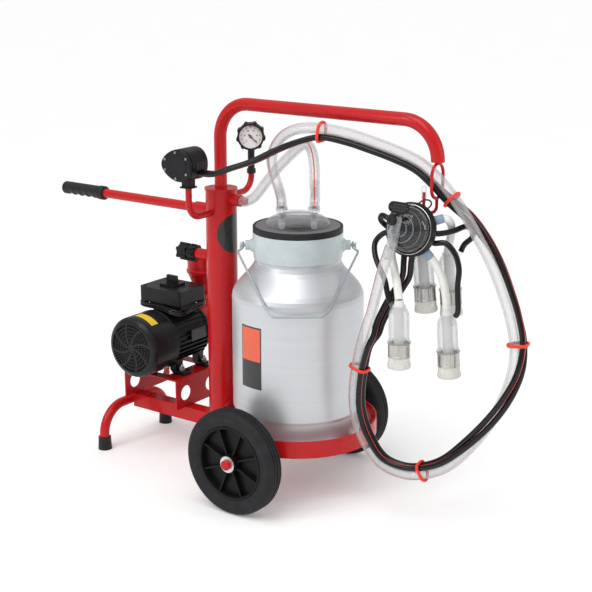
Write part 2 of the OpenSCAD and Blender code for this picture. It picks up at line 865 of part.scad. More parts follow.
module milk_can() {
    wall = 3;
    rise = neck_z - shoulder_z;
    // Shoulder: a quarter wave from the body to the neck
    outer = [for (k = [0 : 10]) [neck_r + (can_r - neck_r) * (1 + cos(18 * k)) / 2,
        shoulder_z + rise * k / 10]];
    inner = [for (k = [10 : -1 : 0]) [outer[k][0] - wall, outer[k][1] - wall / 2]];
    color("lightgray") can_place() rotate_extrude($fn = 128) polygon(concat(
        [[0, can_z0 + 4], [can_r - 12, can_z0 + 4], [can_r - 12, can_z0],
            [can_r - 8, can_z0], [can_r - 4, 226], [can_r, 236]],
        outer, [[neck_r, collar_top - 20], [neck_r - wall, collar_top - 20]], inner,
        [[can_r - wall, 238], [can_r - 8, 226], [can_r - 12, can_z0 + 8],
            [0, can_z0 + 8]]));
}

module can_collar() {
    color("lightsteelblue") can_place() {
        rotate_extrude($fn = 96) polygon([
            [neck_r + gap, neck_z + 2], [neck_r + 4, neck_z], [neck_r + 6, neck_z + 20],
            [neck_r + 6, collar_top], [neck_r - 4, collar_top],
            [neck_r - 4, collar_top - 19], [neck_r + gap, collar_top - 19]]);
        for (side = [-1, 1]) translate([side * (neck_r + 4), 0, lug_z])
            rotate([0, side * 90, 0]) {
                cylinder(d1 = 42, d2 = 27, h = 9);
                cylinder(d = 26, h = 21);
                cylinder(d = 10, h = lug_reach - neck_r - 4);
                translate([0, 0, lug_reach - neck_r - 4]) cylinder(d = 16, h = 3);
            }
    }
}

lid_r = 118;

module can_lid() {
    dome = [for (k = [0 : 8]) [84 * cos(k * 11.25), lid_z + 4 + 30 * sin(k * 11.25)]];
    under = [for (k = [8 : -1 : 0]) [81 * cos(k * 11.25), lid_z + 4 + 27 * sin(k * 11.25)]];
    color("gray") can_place() {
        rotate_extrude($fn = 96) polygon([
            [84, lid_z], [lid_r, lid_z], [lid_r, collar_top + gap],
            [84, collar_top + gap]]);
        difference() {
            rotate_extrude($fn = 96) polygon(concat(
                [[88, lid_z], [88, lid_z + 4]], dome, under, [[81, lid_z]]));
            for (side = [-1, 1]) translate([side * 42, -nozzle_y, lid_z])
                cylinder(d = 22 + 2 * gap, h = 40);
        }
    }
}

nozzle_y = 20;
nozzle_top = 788;
nozzle_at = [for (side = [-1, 1]) can_place_point([side * 42, -nozzle_y])];
function can_place_point(p) = [
    can_x + p[0] * cos(view_turn) - p[1] * sin(view_turn),
    p[0] * sin(view_turn) + p[1] * cos(view_turn)];

module lid_nozzles() {
    color("lightgray") can_place() difference() {
        union() {
            for (side = [-1, 1]) translate([side * 42, -nozzle_y, 0]) {
                translate([0, 0, 742]) cylinder(d = 22, h = 24);
                translate([0, 0, 762]) cylinder(d = 30, h = 6);
                translate([0, 0, 768]) cylinder(d = 18.5, h = nozzle_top - 768);
            }
            translate([-42, -nozzle_y - 6, 762]) cube([84, 12, 6]);
        }
        for (side = [-1, 1]) translate([side * 42, -nozzle_y, 741]) cylinder(d = 13, h = 60);
    }
}

bail_r = 3;
bail_lean = 52.6;                // from straight down, where it rests on the can
bail_side = [
    [144, -8], [148, -13], [153, -18], [156, -26], [138, -71], [119, -118], [100, -165],
    [80, -212], [74, -223], [65, -231], [52, -236]];

module can_bail() {
    last = len(bail_side) - 1;
    wire = concat([for (p = bail_side) [p[0], 0, p[1]]],
        [for (i = [last : -1 : 0]) [-bail_side[i][0], 0, bail_side[i][1]]]);
    color("silver") can_place() translate([0, 0, lug_z]) rotate([-bail_lean, 0, 0])
        difference() {
            union() {
                for (side = [-1, 1]) translate([side * (lug_reach - 6), 0, 0])
                    rotate([0, 90, 0]) cylinder(r = 10, h = 5, center = true);
                sweep(wire, bail_r, 12);
            }
            for (side = [-1, 1]) translate([side * (lug_reach - 6), 0, 0])
                rotate([0, 90, 0]) cylinder(r = 5 + gap, h = 20, center = true);
        }
}

// ---------------------------------------------------------------- cluster

claw_at = [553, -72, 775];
outlet_x = claw_at[0] - 16;
outlet_y = -130;
outlet_z = 752;
outlet_end = [-0.2, 0.08, -0.976];
tee_lean = 11;                   // of the outlet tee and its valve towards +X

module claw_place() {
    translate(claw_at) rotate([90 - claw_tilt, 0, 0]) children();
}
// The same placing for a point and for a direction
function claw_turned(p) = [p[0], p[1] * sin(claw_tilt) - p[2] * cos(claw_tilt),
    p[1] * cos(claw_tilt) + p[2] * sin(claw_tilt)];
function claw_point(p) = claw_at + claw_turned(p);

// The outlet tee leans, and its spigot leans further
module outlet_place() {
    translate([outlet_x, outlet_y, outlet_z]) rotate([0, tee_lean, 0]) children();
}
function outlet_point(s) = let (d = outlet_end) [outlet_x, outlet_y, outlet_z] + s * [
    d[0] * cos(tee_lean) + d[2] * sin(tee_lean), d[1],
    -d[0] * sin(tee_lean) + d[2] * cos(tee_lean)];

// Ball segment above the claw's rim, with the dome's centre just under the rim
module dome(r) {
    intersection() {
        translate([0, 0, -3]) sphere(r = r, $fn = 96);
        translate([0, 0, 2]) cylinder(r = 60, h = 60);
    }
}

module claw_bowl() {
    color("gray") difference() {
        union() {
            claw_place() {
                translate([0, 0, 2]) cylinder(r = claw_r - 4, h = 6, $fn = 96);
                dome(57);
            }
            outlet_place() {
                translate([0, 0, -8]) cylinder(d = 26, h = 61);
                aim(outlet_end) cylinder(d = 18.5, h = 40);
            }
        }
        claw_place() difference() {
            translate([0, 0, -3]) sphere(r = 54, $fn = 96);
            translate([0, 0, -59]) cylinder(r = 60, h = 60);
        }
        outlet_place() {
            aim(outlet_end) cylinder(d = 10, h = 60);
            translate([0, 0, -4]) cylinder(d = 13, h = 60);
            translate([0, 0, 22]) cylinder(d = 21, h = 60);
        }
    }
}

milk_nipples = [-52, 218, 148, 28];       // angles about the claw's axis
pulse_nipples = [-25, 195, 172, -2];
nipple_len = 26;
// Point on a milk nipple's axis, s beyond its tip
function milk_nipple(i, s) = let (r = claw_r - 12 + (nipple_len + s) * sin(125))
    claw_point([r * cos(milk_nipples[i]), r * sin(milk_nipples[i]),
        -12 + (nipple_len + s) * cos(125)]);
function pulse_nipple(i, s) = claw_point([(54 + s) * cos(pulse_nipples[i]),
    (54 + s) * sin(pulse_nipples[i]), -25]);
// Points on the two long pulse nipples under the claw
function main_nipple(side, s) = claw_point([side < 0 ? -1 : -25, -54 - s, -25]);

module claw_body() {
    color("black") claw_place() {
        rotate_extrude($fn = 96) polygon([
            [0, -34], [29, -34], [31, -32], [34, -14], [claw_r - 12, -12], [claw_r, -10],
            [claw_r, 9], [claw_r - 3.9, 9], [claw_r - 3.9, 1.9], [0, 1.9]]);
        for (a = milk_nipples) rotate([0, 0, a]) translate([claw_r - 12, 0, -12])
            rotate([0, 125, 0]) cylinder(d = 15, h = nipple_len);
        for (a = pulse_nipples) rotate([0, 0, a]) translate([0, 0, -25])
            rotate([0, 90, 0]) cylinder(d = 8, h = 54);
        for (x = [-25, -1]) translate([x, -12, -25]) rotate([90, 0, 0])
            cylinder(d = 9, h = 42);
    }
    color("black") {
        translate([551, -6, 824]) rotate([35, 0, 0])
            rotate_extrude() translate([17, 0]) circle(2);
        translate([551, -19, 815]) aim([0, -22, -26]) cylinder(r = 2.5, h = 30);
    }
}

module claw_valve() {
    color("black") outlet_place() {
        translate([0, 0, 24]) cylinder(r = 10.5 - gap, h = 28);
        translate([0, 0, 52]) cylinder(d = 10, h = 28);
        translate([0, 0, 88]) rotate([78, 0, view_turn]) translate([0, 0, -5.5])
            rounded_block(50, 27, 11, 12);
    }
}

cups = [[653, -40, 412], [553, -112, 436], [559, 2, 553], [613, 34, 546]];
cup_lean = [4.5, 1.5, 6, 5];     // of the top towards the handle
port_turn = [-15, 165, 200, 32]; // side of the cup its pulse port is on
liner_h = 30;
steel_h = 34;
shell_top = 152;
stub_top = 172;
port_r = 17;
port_z = 136;
port_lean = 29;
port_len = 34;

module cup_place(i) {
    translate(cups[i]) rotate([0, -cup_lean[i], 0]) children();
}
function cup_point(i, p) = cups[i] + [
    p[0] * cos(cup_lean[i]) - p[2] * sin(cup_lean[i]), p[1],
    p[0] * sin(cup_lean[i]) + p[2] * cos(cup_lean[i])];
// Point on a cup's pulse port, s along it from its root
function cup_port(i, s) = let (r = port_r + s * sin(port_lean))
    cup_point(i, [r * cos(port_turn[i]), r * sin(port_turn[i]), port_z + s * cos(port_lean)]);

module teat_shells() {
    glass_z0 = liner_h + steel_h;
    color("lightgray") for (i = [0 : 3]) cup_place(i) difference() {
        union() {
            translate([0, 0, liner_h + 6]) cylinder(d = 52, h = shell_top - 8 - liner_h - 6);
            translate([0, 0, glass_z0]) cylinder(d = 58, h = 5);
            translate([0, 0, shell_top - 8]) cylinder(d1 = 52, d2 = 36, h = 8);
            translate([0, 0, shell_top]) cylinder(d = 34, h = 6);
            rotate([0, 0, port_turn[i]]) translate([port_r, 0, port_z])
                rotate([0, port_lean, 0]) cylinder(d = 9, h = port_len);
        }
        translate([0, 0, liner_h + 5]) cylinder(d = 47, h = shell_top - 10 - liner_h - 5);
        translate([0, 0, liner_h + 20]) cylinder(d = 26 + 2 * gap, h = 140);
    }
    color("silver") for (i = [0 : 3]) cup_place(i) translate([0, 0, liner_h + gap])
        difference() {
            cylinder(d = 55, h = steel_h - 2 * gap);
            translate([0, 0, -1]) cylinder(d = 52 + 2 * gap, h = steel_h + 2);
        }
}

module teat_liners() {
    color("white") for (i = [0 : 3]) cup_place(i) rotate_extrude() polygon([
        [12, 2], [15, 0], [26, 1], [29, 5], [29, 10], [27, 18], [27.5, liner_h],
        [13, liner_h], [13, shell_top + 6], [10, stub_top], [7, stub_top],
        [10.5, shell_top], [10.5, 14], [12, 13]]);
}

milk_tube_routes = [
    [milk_nipple(0, -12), milk_nipple(0, 0), [612, -48, 690], [627, -42, 655],
        [635, -40, 620], cup_point(0, [0, 0, stub_top])],
    [milk_nipple(1, -12), milk_nipple(1, 0), [487, -50, 710], [493, -58, 694],
        [511, -76, 673], [532, -97, 645], cup_point(1, [0, 0, stub_top])],
    [milk_nipple(2, -12), milk_nipple(2, 0), [480, -26, 813], [474, -12, 808],
        [484, 2, 794], [510, 6, 770], [533, 4, 746], cup_point(2, [0, 0, stub_top])],
    [milk_nipple(3, -12), milk_nipple(3, 0), [625, -27, 802], [626, -9, 788],
        [618, 12, 767], [606, 28, 742], cup_point(3, [0, 0, stub_top])]];
pulse_tube_routes = [
    [pulse_nipple(0, -12), pulse_nipple(0, 6), [634, -44, 746], [659, -42, 723],
        [671, -42, 687], [671, -46, 646], cup_port(0, 44), cup_port(0, 26)],
    [pulse_nipple(1, -12), pulse_nipple(1, 6), [464, -50, 750], [446, -60, 728],
        [454, -74, 700], [474, -84, 671], [494, -91, 645], cup_port(1, 46), cup_port(1, 26)],
    [pulse_nipple(2, -12), pulse_nipple(2, 4), [470, -46, 789], [450, -39, 791],
        [441, -29, 777], [448, -19, 763], [472, -14, 746], cup_port(2, 46), cup_port(2, 26)],
    [pulse_nipple(3, -12), pulse_nipple(3, 4), [625, -34, 769], [640, -12, 773],
        [652, 16, 779], [658, 40, 770], [652, 54, 746], cup_port(3, 46), cup_port(3, 26)]];

module short_milk_tubes() {
    color("ivory") for (p = milk_tube_routes) sweep(spline(p, 3), 10, 8);
}

module short_pulse_tubes() {
    color("black") for (p = pulse_tube_routes) sweep(spline(p, 2), 7, 8);
}

// ---------------------------------------------------------------- hoses

milk_r = 13.5;
pulse_r = 7.5;
hose_nozzle = nozzle_at[0];
vacuum_nozzle = nozzle_at[1];

// Shared run of the hose bundle: x, y, z of the clear hose, then the angle at which the
// two pulse tubes sit on it (0 outside the loop, 90 towards +Y, 180 inside the loop).
// They cross behind the hose on the way down and in front of it near the floor.
loop_route = [
    [280, -55, 992, 180], [350, -45, 985, 180], [416, -30, 968, 180], [481, -15, 948, 180],
    [535, -3, 925, 180], [581, 0, 893, 180], [628, -2, 850, 150], [668, -6, 806, 105],
    [707, -10, 755, 70], [745, -14, 700, 48], [776, -17, 640, 36], [801, -20, 580, 30],
    [815, -20, 520, 15], [816, -25, 460, -15], [800, -28, 395, -50], [770, -32, 325, -85],
    [722, -38, 250, -120], [664, -50, 185, -150], [600, -60, 150, -170],
    [540, -68, 140, -180], [478, -78, 160, -180], [436, -88, 220, -180],
    [414, -95, 290, -180], [412, -97, 350, -180], [420, -98, 410, -180],
    [434, -100, 470, -190]];

function loop_point(i) = [loop_route[i][0], loop_route[i][1], loop_route[i][2]];
loop_points = [for (i = [0 : len(loop_route) - 1]) loop_point(i)];
// The loop runs clockwise seen from -Y, so this points out of it
function outward(i) = unit(cross(travel(loop_points, i), [0, 1, 0]));
bundle_gap = milk_r + pulse_r + 1.5;
pair_half = 21.5;
function pulse_point(i, side) = let (a = loop_route[i][3] + side * pair_half)
    loop_points[i] + bundle_gap * (cos(a) * outward(i) + sin(a) * [0, 1, 0]);

milk_start = [
    [hose_nozzle[0], hose_nozzle[1], 769], [hose_nozzle[0] - 2, hose_nozzle[1], 800],
    [154, -70, 838], [142, -72, 872], [137, -72, 905], [148, -70, 940], [176, -67, 970],
    [220, -62, 988]];
milk_end = [[450, -104, 515], [467, -107, 561], [483, -113, 609], [499, -119, 657],
    [512, -124, 690], outlet_point(40), outlet_point(14)];
milk_route = concat(milk_start, loop_points, milk_end);

function pulse_start(side) = let (w = -9 * side) [
    [tank_x + 46, -stem_y + w, 858], [tank_x + 90, -stem_y + w, 861],
    [40, -128 + w, 876], [110, -112 + w, 902], [170, -96 + w, 933],
    [222, -76 + w, 956]];
// Away from the hose at the far end, side by side up to the claw: middle of the pair,
// then the direction from one tube to the other
end_route = [
    [470, -88, 500, 75], [477, -82, 533, 55], [499, -73, 584, 36], [526, -67, 631, 36],
    [538, -64, 656, 36]];
function pulse_end(side) = concat(
    [for (p = end_route) [p[0], p[1], p[2]] - 8.7 * side * [cos(p[3]), sin(p[3]), 0]],
    [[side < 0 ? 549 : 531, side < 0 ? -60 : -65, 690], main_nipple(side, 0),
        main_nipple(side, -12)]);
function pulse_route(side) = concat(pulse_start(side),
    [for (i = [0 : len(loop_route) - 1]) pulse_point(i, side)], pulse_end(side));

vacuum_route = [
    [tank_x + tank_r + 27, 0, nipple_z], [-2, 0, nipple_z + 1], [26, 0, 782], [60, 0, 820],
    [98, 0, 862], [140, -4, 900], [176, -10, 928], [205, -18, 942], [228, -26, 930],
    [241, -32, 898], [246, -36, 850], [vacuum_nozzle[0] + 2, vacuum_nozzle[1], 805],
    [vacuum_nozzle[0], vacuum_nozzle[1], 769]];

module milk_hose() {
    color("lightgray") sweep(spline(milk_route, 2), milk_r, 10);
}

module vacuum_hose() {
    color("lightgray") sweep(spline(vacuum_route, 2), milk_r, 10);
}

module pulse_tube(side) {
    color("black") sweep(spline(pulse_route(side), 2), pulse_r, 8);
}

ring_stations = [0, 6, 12, 18, 24];

module hose_rings() {
    color("red") for (i = ring_stations) {
        a = loop_route[i][3];
        c = loop_points[i] + 9 * (cos(a) * outward(i) + sin(a) * [0, 1, 0]);
        translate(c) aim(travel(loop_points, i))
            rotate_extrude() translate([25.8, 0]) circle(3.2, $fn = 24);
    }
}

// ---------------------------------------------------------------- assembly

base_beam();
rear_legs();
foot_caps();
vacuum_tank();
hanger_tube();
hose_eye();
can_ring();
axle();
tyre_at(-1);  // right_tyre
rim_at(-1);  // right_rim
tyre_at(1);  // left_tyre
rim_at(1);  // left_rim
axle_washers();
handle_tube();
handle_grip();
motor_bracket();
motor_housing();
drive_shield();
fan_cowl();
cooling_fan();
rotor_shaft();
stator();
motor_bolts();
terminal_box();
terminal_lid();
switch_knob();
cord_gland();
power_cord();
cord_coil();
power_plug();
pump_housing();
pump_cover();
pump_rotor();
silencer();
suction_pipe();
regulator_body();
regulator_knob();
branch_pipes();
pulsator_body();
pulsator_cover();
gauge_case();
gauge_boot();
gauge_needle();
vacuum_hose();
milk_hose();
pulse_tube(-1);  // pulse_tube_a
pulse_tube(1);  // pulse_tube_b
hose_rings();
milk_can();
can_collar();
can_lid();
lid_nozzles();
can_bail();
claw_bowl();
claw_body();
claw_valve();
teat_shells();
teat_liners();
short_milk_tubes();
short_pulse_tubes();
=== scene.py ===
"""Looks of the milking machine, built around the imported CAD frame."""
import math
import bmesh
import bpy
from mathutils import Matrix, Vector


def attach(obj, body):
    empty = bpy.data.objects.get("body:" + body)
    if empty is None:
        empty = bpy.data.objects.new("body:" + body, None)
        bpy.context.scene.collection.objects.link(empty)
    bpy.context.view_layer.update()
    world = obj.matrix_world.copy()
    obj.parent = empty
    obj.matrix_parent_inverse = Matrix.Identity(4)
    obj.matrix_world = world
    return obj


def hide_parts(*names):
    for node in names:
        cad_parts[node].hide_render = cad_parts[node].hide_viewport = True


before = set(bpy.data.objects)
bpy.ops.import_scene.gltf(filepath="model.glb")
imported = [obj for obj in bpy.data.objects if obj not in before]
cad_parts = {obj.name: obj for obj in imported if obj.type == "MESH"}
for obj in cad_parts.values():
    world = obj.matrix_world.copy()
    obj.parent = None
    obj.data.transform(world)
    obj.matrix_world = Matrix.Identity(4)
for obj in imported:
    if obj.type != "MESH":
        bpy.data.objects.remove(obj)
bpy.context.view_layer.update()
scene = bpy.context.scene
MM = 0.001
CUP_COUNT = 4
MOTOR_X, MOTOR_Z = -316, 328


# ---- placing

def rot(x=0, y=0, z=0):
    """Turn about X, then Y, then Z, in degrees."""
    return (Matrix.Rotation(math.radians(z), 4, "Z") @ Matrix.Rotation(math.radians(y), 4, "Y")
            @ Matrix.Rotation(math.radians(x), 4, "X"))


def place(at, x=0, y=0, z=0):
    """A place in millimetres, with a turn in degrees."""
    return Matrix.Translation(Vector(at)) @ rot(x, y, z)


def aimed(at, direction):
    """A place whose Z points along a direction."""
    d = Vector(direction).normalized()
    return (Matrix.Translation(Vector(at))
            @ Matrix.Rotation(math.atan2(d.y, d.x), 4, "Z")
            @ Matrix.Rotation(math.acos(max(-1, min(1, d.z))), 4, "Y"))


VIEW_TURN = 35.8
CAN = place((168, 0, 0), z=VIEW_TURN)
GAUGE = place((-89, 135, 919), x=90, z=VIEW_TURN)
CLAW_AT = Vector((553, -72, 775))
CLAW = place(CLAW_AT, x=78)
OUTLET = place((537, -130, 752), y=11)
CUPS = [(653, -40, 412), (553, -112, 436), (559, 2, 553), (613, 34, 546)]
CUP_LEAN = [4.5, 1.5, 6, 5]
PORT_TURN = [-15, 165, 200, 32]
WHEEL_X, WHEEL_Y, WHEEL_Z = 148, 256, 141


def cup_place(i):
    """The place of a teat cup's mouth, with Z up its own axis."""
    return place(CUPS[i], y=-CUP_LEAN[i])


# ---- camera

camera = bpy.data.objects.new("camera", bpy.data.cameras.new("camera"))
scene.collection.objects.link(camera)
camera.location = (2.150, -2.759, 1.474)
CAMERA_DOWN, CAMERA_ROUND = 15.52, 35.78
camera.rotation_euler = (math.radians(90 - CAMERA_DOWN), 0, math.radians(CAMERA_ROUND))
camera.data.lens = 80.8
camera.data.sensor_width = 36
camera.data.clip_end = 400
scene.camera = camera


# ---- materials

def nodes_of(name):
    """A new material with its nodes and links."""
    m = bpy.data.materials.new(name)
    m.use_nodes = True
    return m, m.node_tree.nodes, m.node_tree.links


def noise(nodes, links, scale, detail=4.0, stretch=(1, 1, 1)):
    """Procedural noise in the piece's own space."""
    coord = nodes.new("ShaderNodeTexCoord")
    mapping = nodes.new("ShaderNodeMapping")
    mapping.inputs["Scale"].default_value = stretch
    tex = nodes.new("ShaderNodeTexNoise")
    tex.inputs["Scale"].default_value = scale
    tex.inputs["Detail"].default_value = detail
    links.new(coord.outputs["Object"], mapping.inputs["Vector"])
    links.new(mapping.outputs["Vector"], tex.inputs["Vector"])
    return tex.outputs["Fac"]


def ranged(nodes, links, value, low, high):
    """The middle of a noise value spread over a range."""
    node = nodes.new("ShaderNodeMapRange")
    node.inputs["From Min"].default_value = 0.3
    node.inputs["From Max"].default_value = 0.7
    node.inputs["To Min"].default_value = low
    node.inputs["To Max"].default_value = high
    links.new(value, node.inputs["Value"])
    return node.outputs["Result"]


def mixed(nodes, links, value, a, b):
    """A colour between two colours."""
    node = nodes.new("ShaderNodeMix")
    node.data_type = "RGBA"
    node.inputs["A"].default_value = (*a, 1)
    node.inputs["B"].default_value = (*b, 1)
    links.new(value, node.inputs["Factor"])
    return node.outputs["Result"]


def finish_of(name, color, rough=0.4, metal=0.0, coat=0.0, vary=0.08, scale=30.0, wear=0.06,
              bump=0.15, bump_scale=500.0, bump_depth=0.0002, stretch=(1, 1, 1), clear=0.0,
              ior=1.45, specular=0.5):
    """A surface with its own colour drift, gloss drift and fine relief."""
    m, nodes, links = nodes_of(name)
    shader = nodes["Principled BSDF"]
    dark = tuple(c * (1 - vary) for c in color)
    light = tuple(min(1.0, c * (1 + vary)) for c in color)
    drift = noise(nodes, links, scale, 5.0, stretch)
    tint = ranged(nodes, links, drift, 0, 1)
    links.new(mixed(nodes, links, tint, dark, light), shader.inputs["Base Color"])
    gloss = noise(nodes, links, scale * 2.3, 6.0, stretch)
    links.new(ranged(nodes, links, gloss, max(0.02, rough - wear), min(1, rough + wear)),
              shader.inputs["Roughness"])
    relief = nodes.new("ShaderNodeBump")
    relief.inputs["Strength"].default_value = bump
    relief.inputs["Distance"].default_value = bump_depth
    links.new(noise(nodes, links, bump_scale, 3.0, stretch), relief.inputs["Height"])
    links.new(relief.outputs["Normal"], shader.inputs["Normal"])
    shader.inputs["Metallic"].default_value = metal
    shader.inputs["Coat Weight"].default_value = coat
    shader.inputs["Coat Roughness"].default_value = 0.08
    shader.inputs["Transmission Weight"].default_value = clear
    shader.inputs["IOR"].default_value = ior
    shader.inputs["Specular IOR Level"].default_value = specular
    return m


def see_through(name, color, density, rough=0.06, edge=0.75, vary=0.05, scale=25.0):
    """Thin clear plastic: looks through in its middle, whiter and glossier at its edges."""
    m, nodes, links = nodes_of(name)
    shader = nodes["Principled BSDF"]
    output = nodes["Material Output"]
    dark = tuple(c * (1 - vary) for c in color)
    light = tuple(min(1.0, c * (1 + vary)) for c in color)
    tint = ranged(nodes, links, noise(nodes, links, scale), 0, 1)
    links.new(mixed(nodes, links, tint, dark, light), shader.inputs["Base Color"])
    shader.inputs["Roughness"].default_value = rough
    shader.inputs["Specular IOR Level"].default_value = 0.7
    relief = nodes.new("ShaderNodeBump")
    relief.inputs["Strength"].default_value = 0.05
    relief.inputs["Distance"].default_value = 0.0002
    links.new(noise(nodes, links, 40.0, 1.0), relief.inputs["Height"])
    links.new(relief.outputs["Normal"], shader.inputs["Normal"])
    through = nodes.new("ShaderNodeBsdfTransparent")
    facing = nodes.new("ShaderNodeLayerWeight")
    facing.inputs["Blend"].default_value = 0.35
    amount = nodes.new("ShaderNodeMapRange")
    amount.inputs["To Min"].default_value = density
    amount.inputs["To Max"].default_value = edge
    links.new(facing.outputs["Facing"], amount.inputs["Value"])
    mix = nodes.new("ShaderNodeMixShader")
    links.new(amount.outputs["Result"], mix.inputs["Fac"])
    links.new(through.outputs["BSDF"], mix.inputs[1])
    links.new(shader.outputs["BSDF"], mix.inputs[2])
    links.new(mix.outputs["Shader"], output.inputs["Surface"])
    return m


RED = finish_of("red_powder_coat", (0.47, 0.007, 0.009), rough=0.3, coat=0.15, vary=0.04,
                scale=9, bump=0.08, bump_scale=620, bump_depth=0.0001, specular=0.25)
BLACK_PAINT = finish_of("black_paint", (0.009, 0.0095, 0.011), rough=0.34, coat=0.1,
                        vary=0.2, scale=40, bump=0.18, bump_scale=420, bump_depth=0.0002,
                        specular=0.25)
BLACK_PLASTIC = finish_of("black_plastic", (0.010, 0.0105, 0.012), rough=0.36, vary=0.2,
                          scale=60, bump=0.2, bump_scale=900, bump_depth=0.0002,
                          specular=0.25)
RIM = finish_of("rim_plastic", (0.006, 0.0063, 0.007), rough=0.4, specular=0.2, vary=0.2,
                scale=45, bump=0.2, bump_scale=700, bump_depth=0.0002)
TYRE = finish_of("tyre_rubber", (0.017, 0.0175, 0.019), rough=0.66, vary=0.18, scale=35,
                 bump=0.3, bump_scale=480, bump_depth=0.0003, specular=0.25)
RUBBER = finish_of("black_rubber", (0.012, 0.012, 0.0135), rough=0.5, vary=0.2, scale=50,
                   bump=0.35, bump_scale=700, bump_depth=0.0002, specular=0.35)
TUBE_BLACK = finish_of("black_tube", (0.005, 0.005, 0.006), rough=0.18, vary=0.2, scale=30,
                       bump=0.05, bump_scale=160, bump_depth=0.0001, specular=0.4)
STRIPE = finish_of("red_stripe", (0.75, 0.03, 0.025), rough=0.3, vary=0.08, scale=80, bump=0.1)
RING_RED = finish_of("red_rubber", (0.80, 0.035, 0.018), rough=0.38, vary=0.06, scale=60,
                     bump=0.2, bump_scale=500)
ZINC = finish_of("zinc_plate", (0.66, 0.665, 0.66), rough=0.34, metal=0.9, vary=0.14, scale=55,
                 wear=0.1, bump=0.25, bump_scale=380)
STEEL = finish_of("brushed_steel", (0.60, 0.575, 0.54), rough=0.28, metal=1.0, vary=0.1,
                  scale=14, wear=0.08, bump=0.35, bump_scale=60, bump_depth=0.0002,
                  stretch=(1, 1, 24))
CORE = finish_of("iron_core", (0.22, 0.19, 0.17), rough=0.5, metal=0.6, vary=0.2, scale=90)
ALUMINIUM = finish_of("satin_aluminium", (0.60, 0.615, 0.635), rough=0.42, metal=0.65,
                      vary=0.02, scale=4, wear=0.04, bump=0.10, bump_scale=26,
                      bump_depth=0.0002, stretch=(1, 1, 30))
BLUE_GREY = finish_of("blue_grey_plastic", (0.50, 0.56, 0.57), rough=0.32, vary=0.05, scale=30,
                      bump=0.2, bump_scale=350)
MILKY = finish_of("milky_tube", (0.78, 0.78, 0.75), rough=0.28, vary=0.03, scale=40, bump=0.04,
                  bump_scale=60, bump_depth=0.0001)
LINER = finish_of("silicone_liner", (0.72, 0.72, 0.69), rough=0.3, vary=0.03, scale=40,
                  bump=0.05, bump_scale=100, bump_depth=0.0001)
CHROME = finish_of("polished_case", (0.75, 0.75, 0.76), rough=0.14, metal=1.0, vary=0.05,
                   scale=30, wear=0.05, bump=0.1)
CLEAR = see_through("clear_plastic", (0.66, 0.68, 0.70), 0.08, edge=0.62)
HOSE_CLEAR = see_through("clear_hose", (0.62, 0.61, 0.62), 0.12, rough=0.06, edge=0.74)
SMOKY = see_through("smoky_bowl", (0.035, 0.037, 0.04), 0.5, rough=0.04, edge=0.95)

CAD_FINISH = (
    (RED, "base_beam rear_legs vacuum_tank hanger_tube hose_eye can_ring axle "
          "handle_tube motor_bracket pump_housing pump_cover silencer suction_pipe "
          "branch_pipes"),
    (RUBBER, "foot_caps handle_grip power_plug gauge_boot claw_valve"),
    (TYRE, "right_tyre left_tyre"),
    (RIM, "right_rim left_rim"),
    (ZINC, "axle_washers motor_bolts can_bail"),
    (BLACK_PAINT, "motor_housing drive_shield fan_cowl"),
    (BLACK_PLASTIC, "cooling_fan terminal_box terminal_lid switch_knob cord_gland "
                    "regulator_body regulator_knob pulsator_body pulsator_cover gauge_needle "
                    "claw_body"),
    (STEEL, "rotor_shaft pump_rotor"),
    (CORE, "stator"),
    (TUBE_BLACK, "power_cord cord_coil pulse_tube_a pulse_tube_b short_pulse_tubes"),
    (CHROME, "gauge_case"),
    (HOSE_CLEAR, "vacuum_hose milk_hose"),
    (RING_RED, "hose_rings"),
    (ALUMINIUM, "milk_can"),
    (BLUE_GREY, "can_collar"),
    (CLEAR, "can_lid lid_nozzles teat_shells"),
    (SMOKY, "claw_bowl"),
    (LINER, "teat_liners"),
    (MILKY, "short_milk_tubes"))
for finish, nodes in CAD_FINISH:
    for node in nodes.split():
        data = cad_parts[node].data
        if not data.materials:
            data.materials.append(finish)
        for k in range(len(data.materials)):
            data.materials[k] = finish


# ---- mesh making

def piece(name, verts, faces, materials, body, face_slots=None, smooth=True, turn=None):
    """A mesh piece from points in millimetres, riding on a body."""
    data = bpy.data.meshes.new(name)
    turn = turn or Matrix.Identity(4)
    data.from_pydata([(turn @ Vector(v)) * MM for v in verts], [], faces)
    for m in materials if isinstance(materials, (list, tuple)) else [materials]:
        data.materials.append(m)
    if face_slots:
        for polygon, k in zip(data.polygons, face_slots):
            polygon.material_index = k
    data.validate()
    for polygon in data.polygons:
        polygon.use_smooth = smooth
    obj = bpy.data.objects.new(name, data)
    scene.collection.objects.link(obj)
    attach(obj, body)
    return obj


def sharp(obj, angle=35, width=0.0, segments=2):
    """Keeps hard edges hard, with a small bevel along them."""
    if width:
        bevel = obj.modifiers.new("bevel", "BEVEL")
        bevel.width = width * MM
        bevel.segments = segments
        bevel.limit_method = "ANGLE"
        bevel.angle_limit = math.radians(angle)
        bevel.harden_normals = False
    obj.data.shade_smooth()
    obj.data.set_sharp_from_angle(angle=math.radians(angle))
    return obj


def spline(points, steps):
    """The smooth curve that the CAD model's hoses follow."""
    p = [Vector(q) for q in points]
    out = []
    last = len(p) - 1
    for i in range(last):
        p0, p1, p2, p3 = p[max(i - 1, 0)], p[i], p[i + 1], p[min(i + 2, last)]
        for s in range(steps):
            t = s / steps
            out.append(0.5 * (2 * p1 + (p2 - p0) * t + (2 * p0 - 5 * p1 + 4 * p2 - p3) * t * t
                              + (3 * p1 - p0 - 3 * p2 + p3) * t ** 3))
    out.append(p[last])
    return out


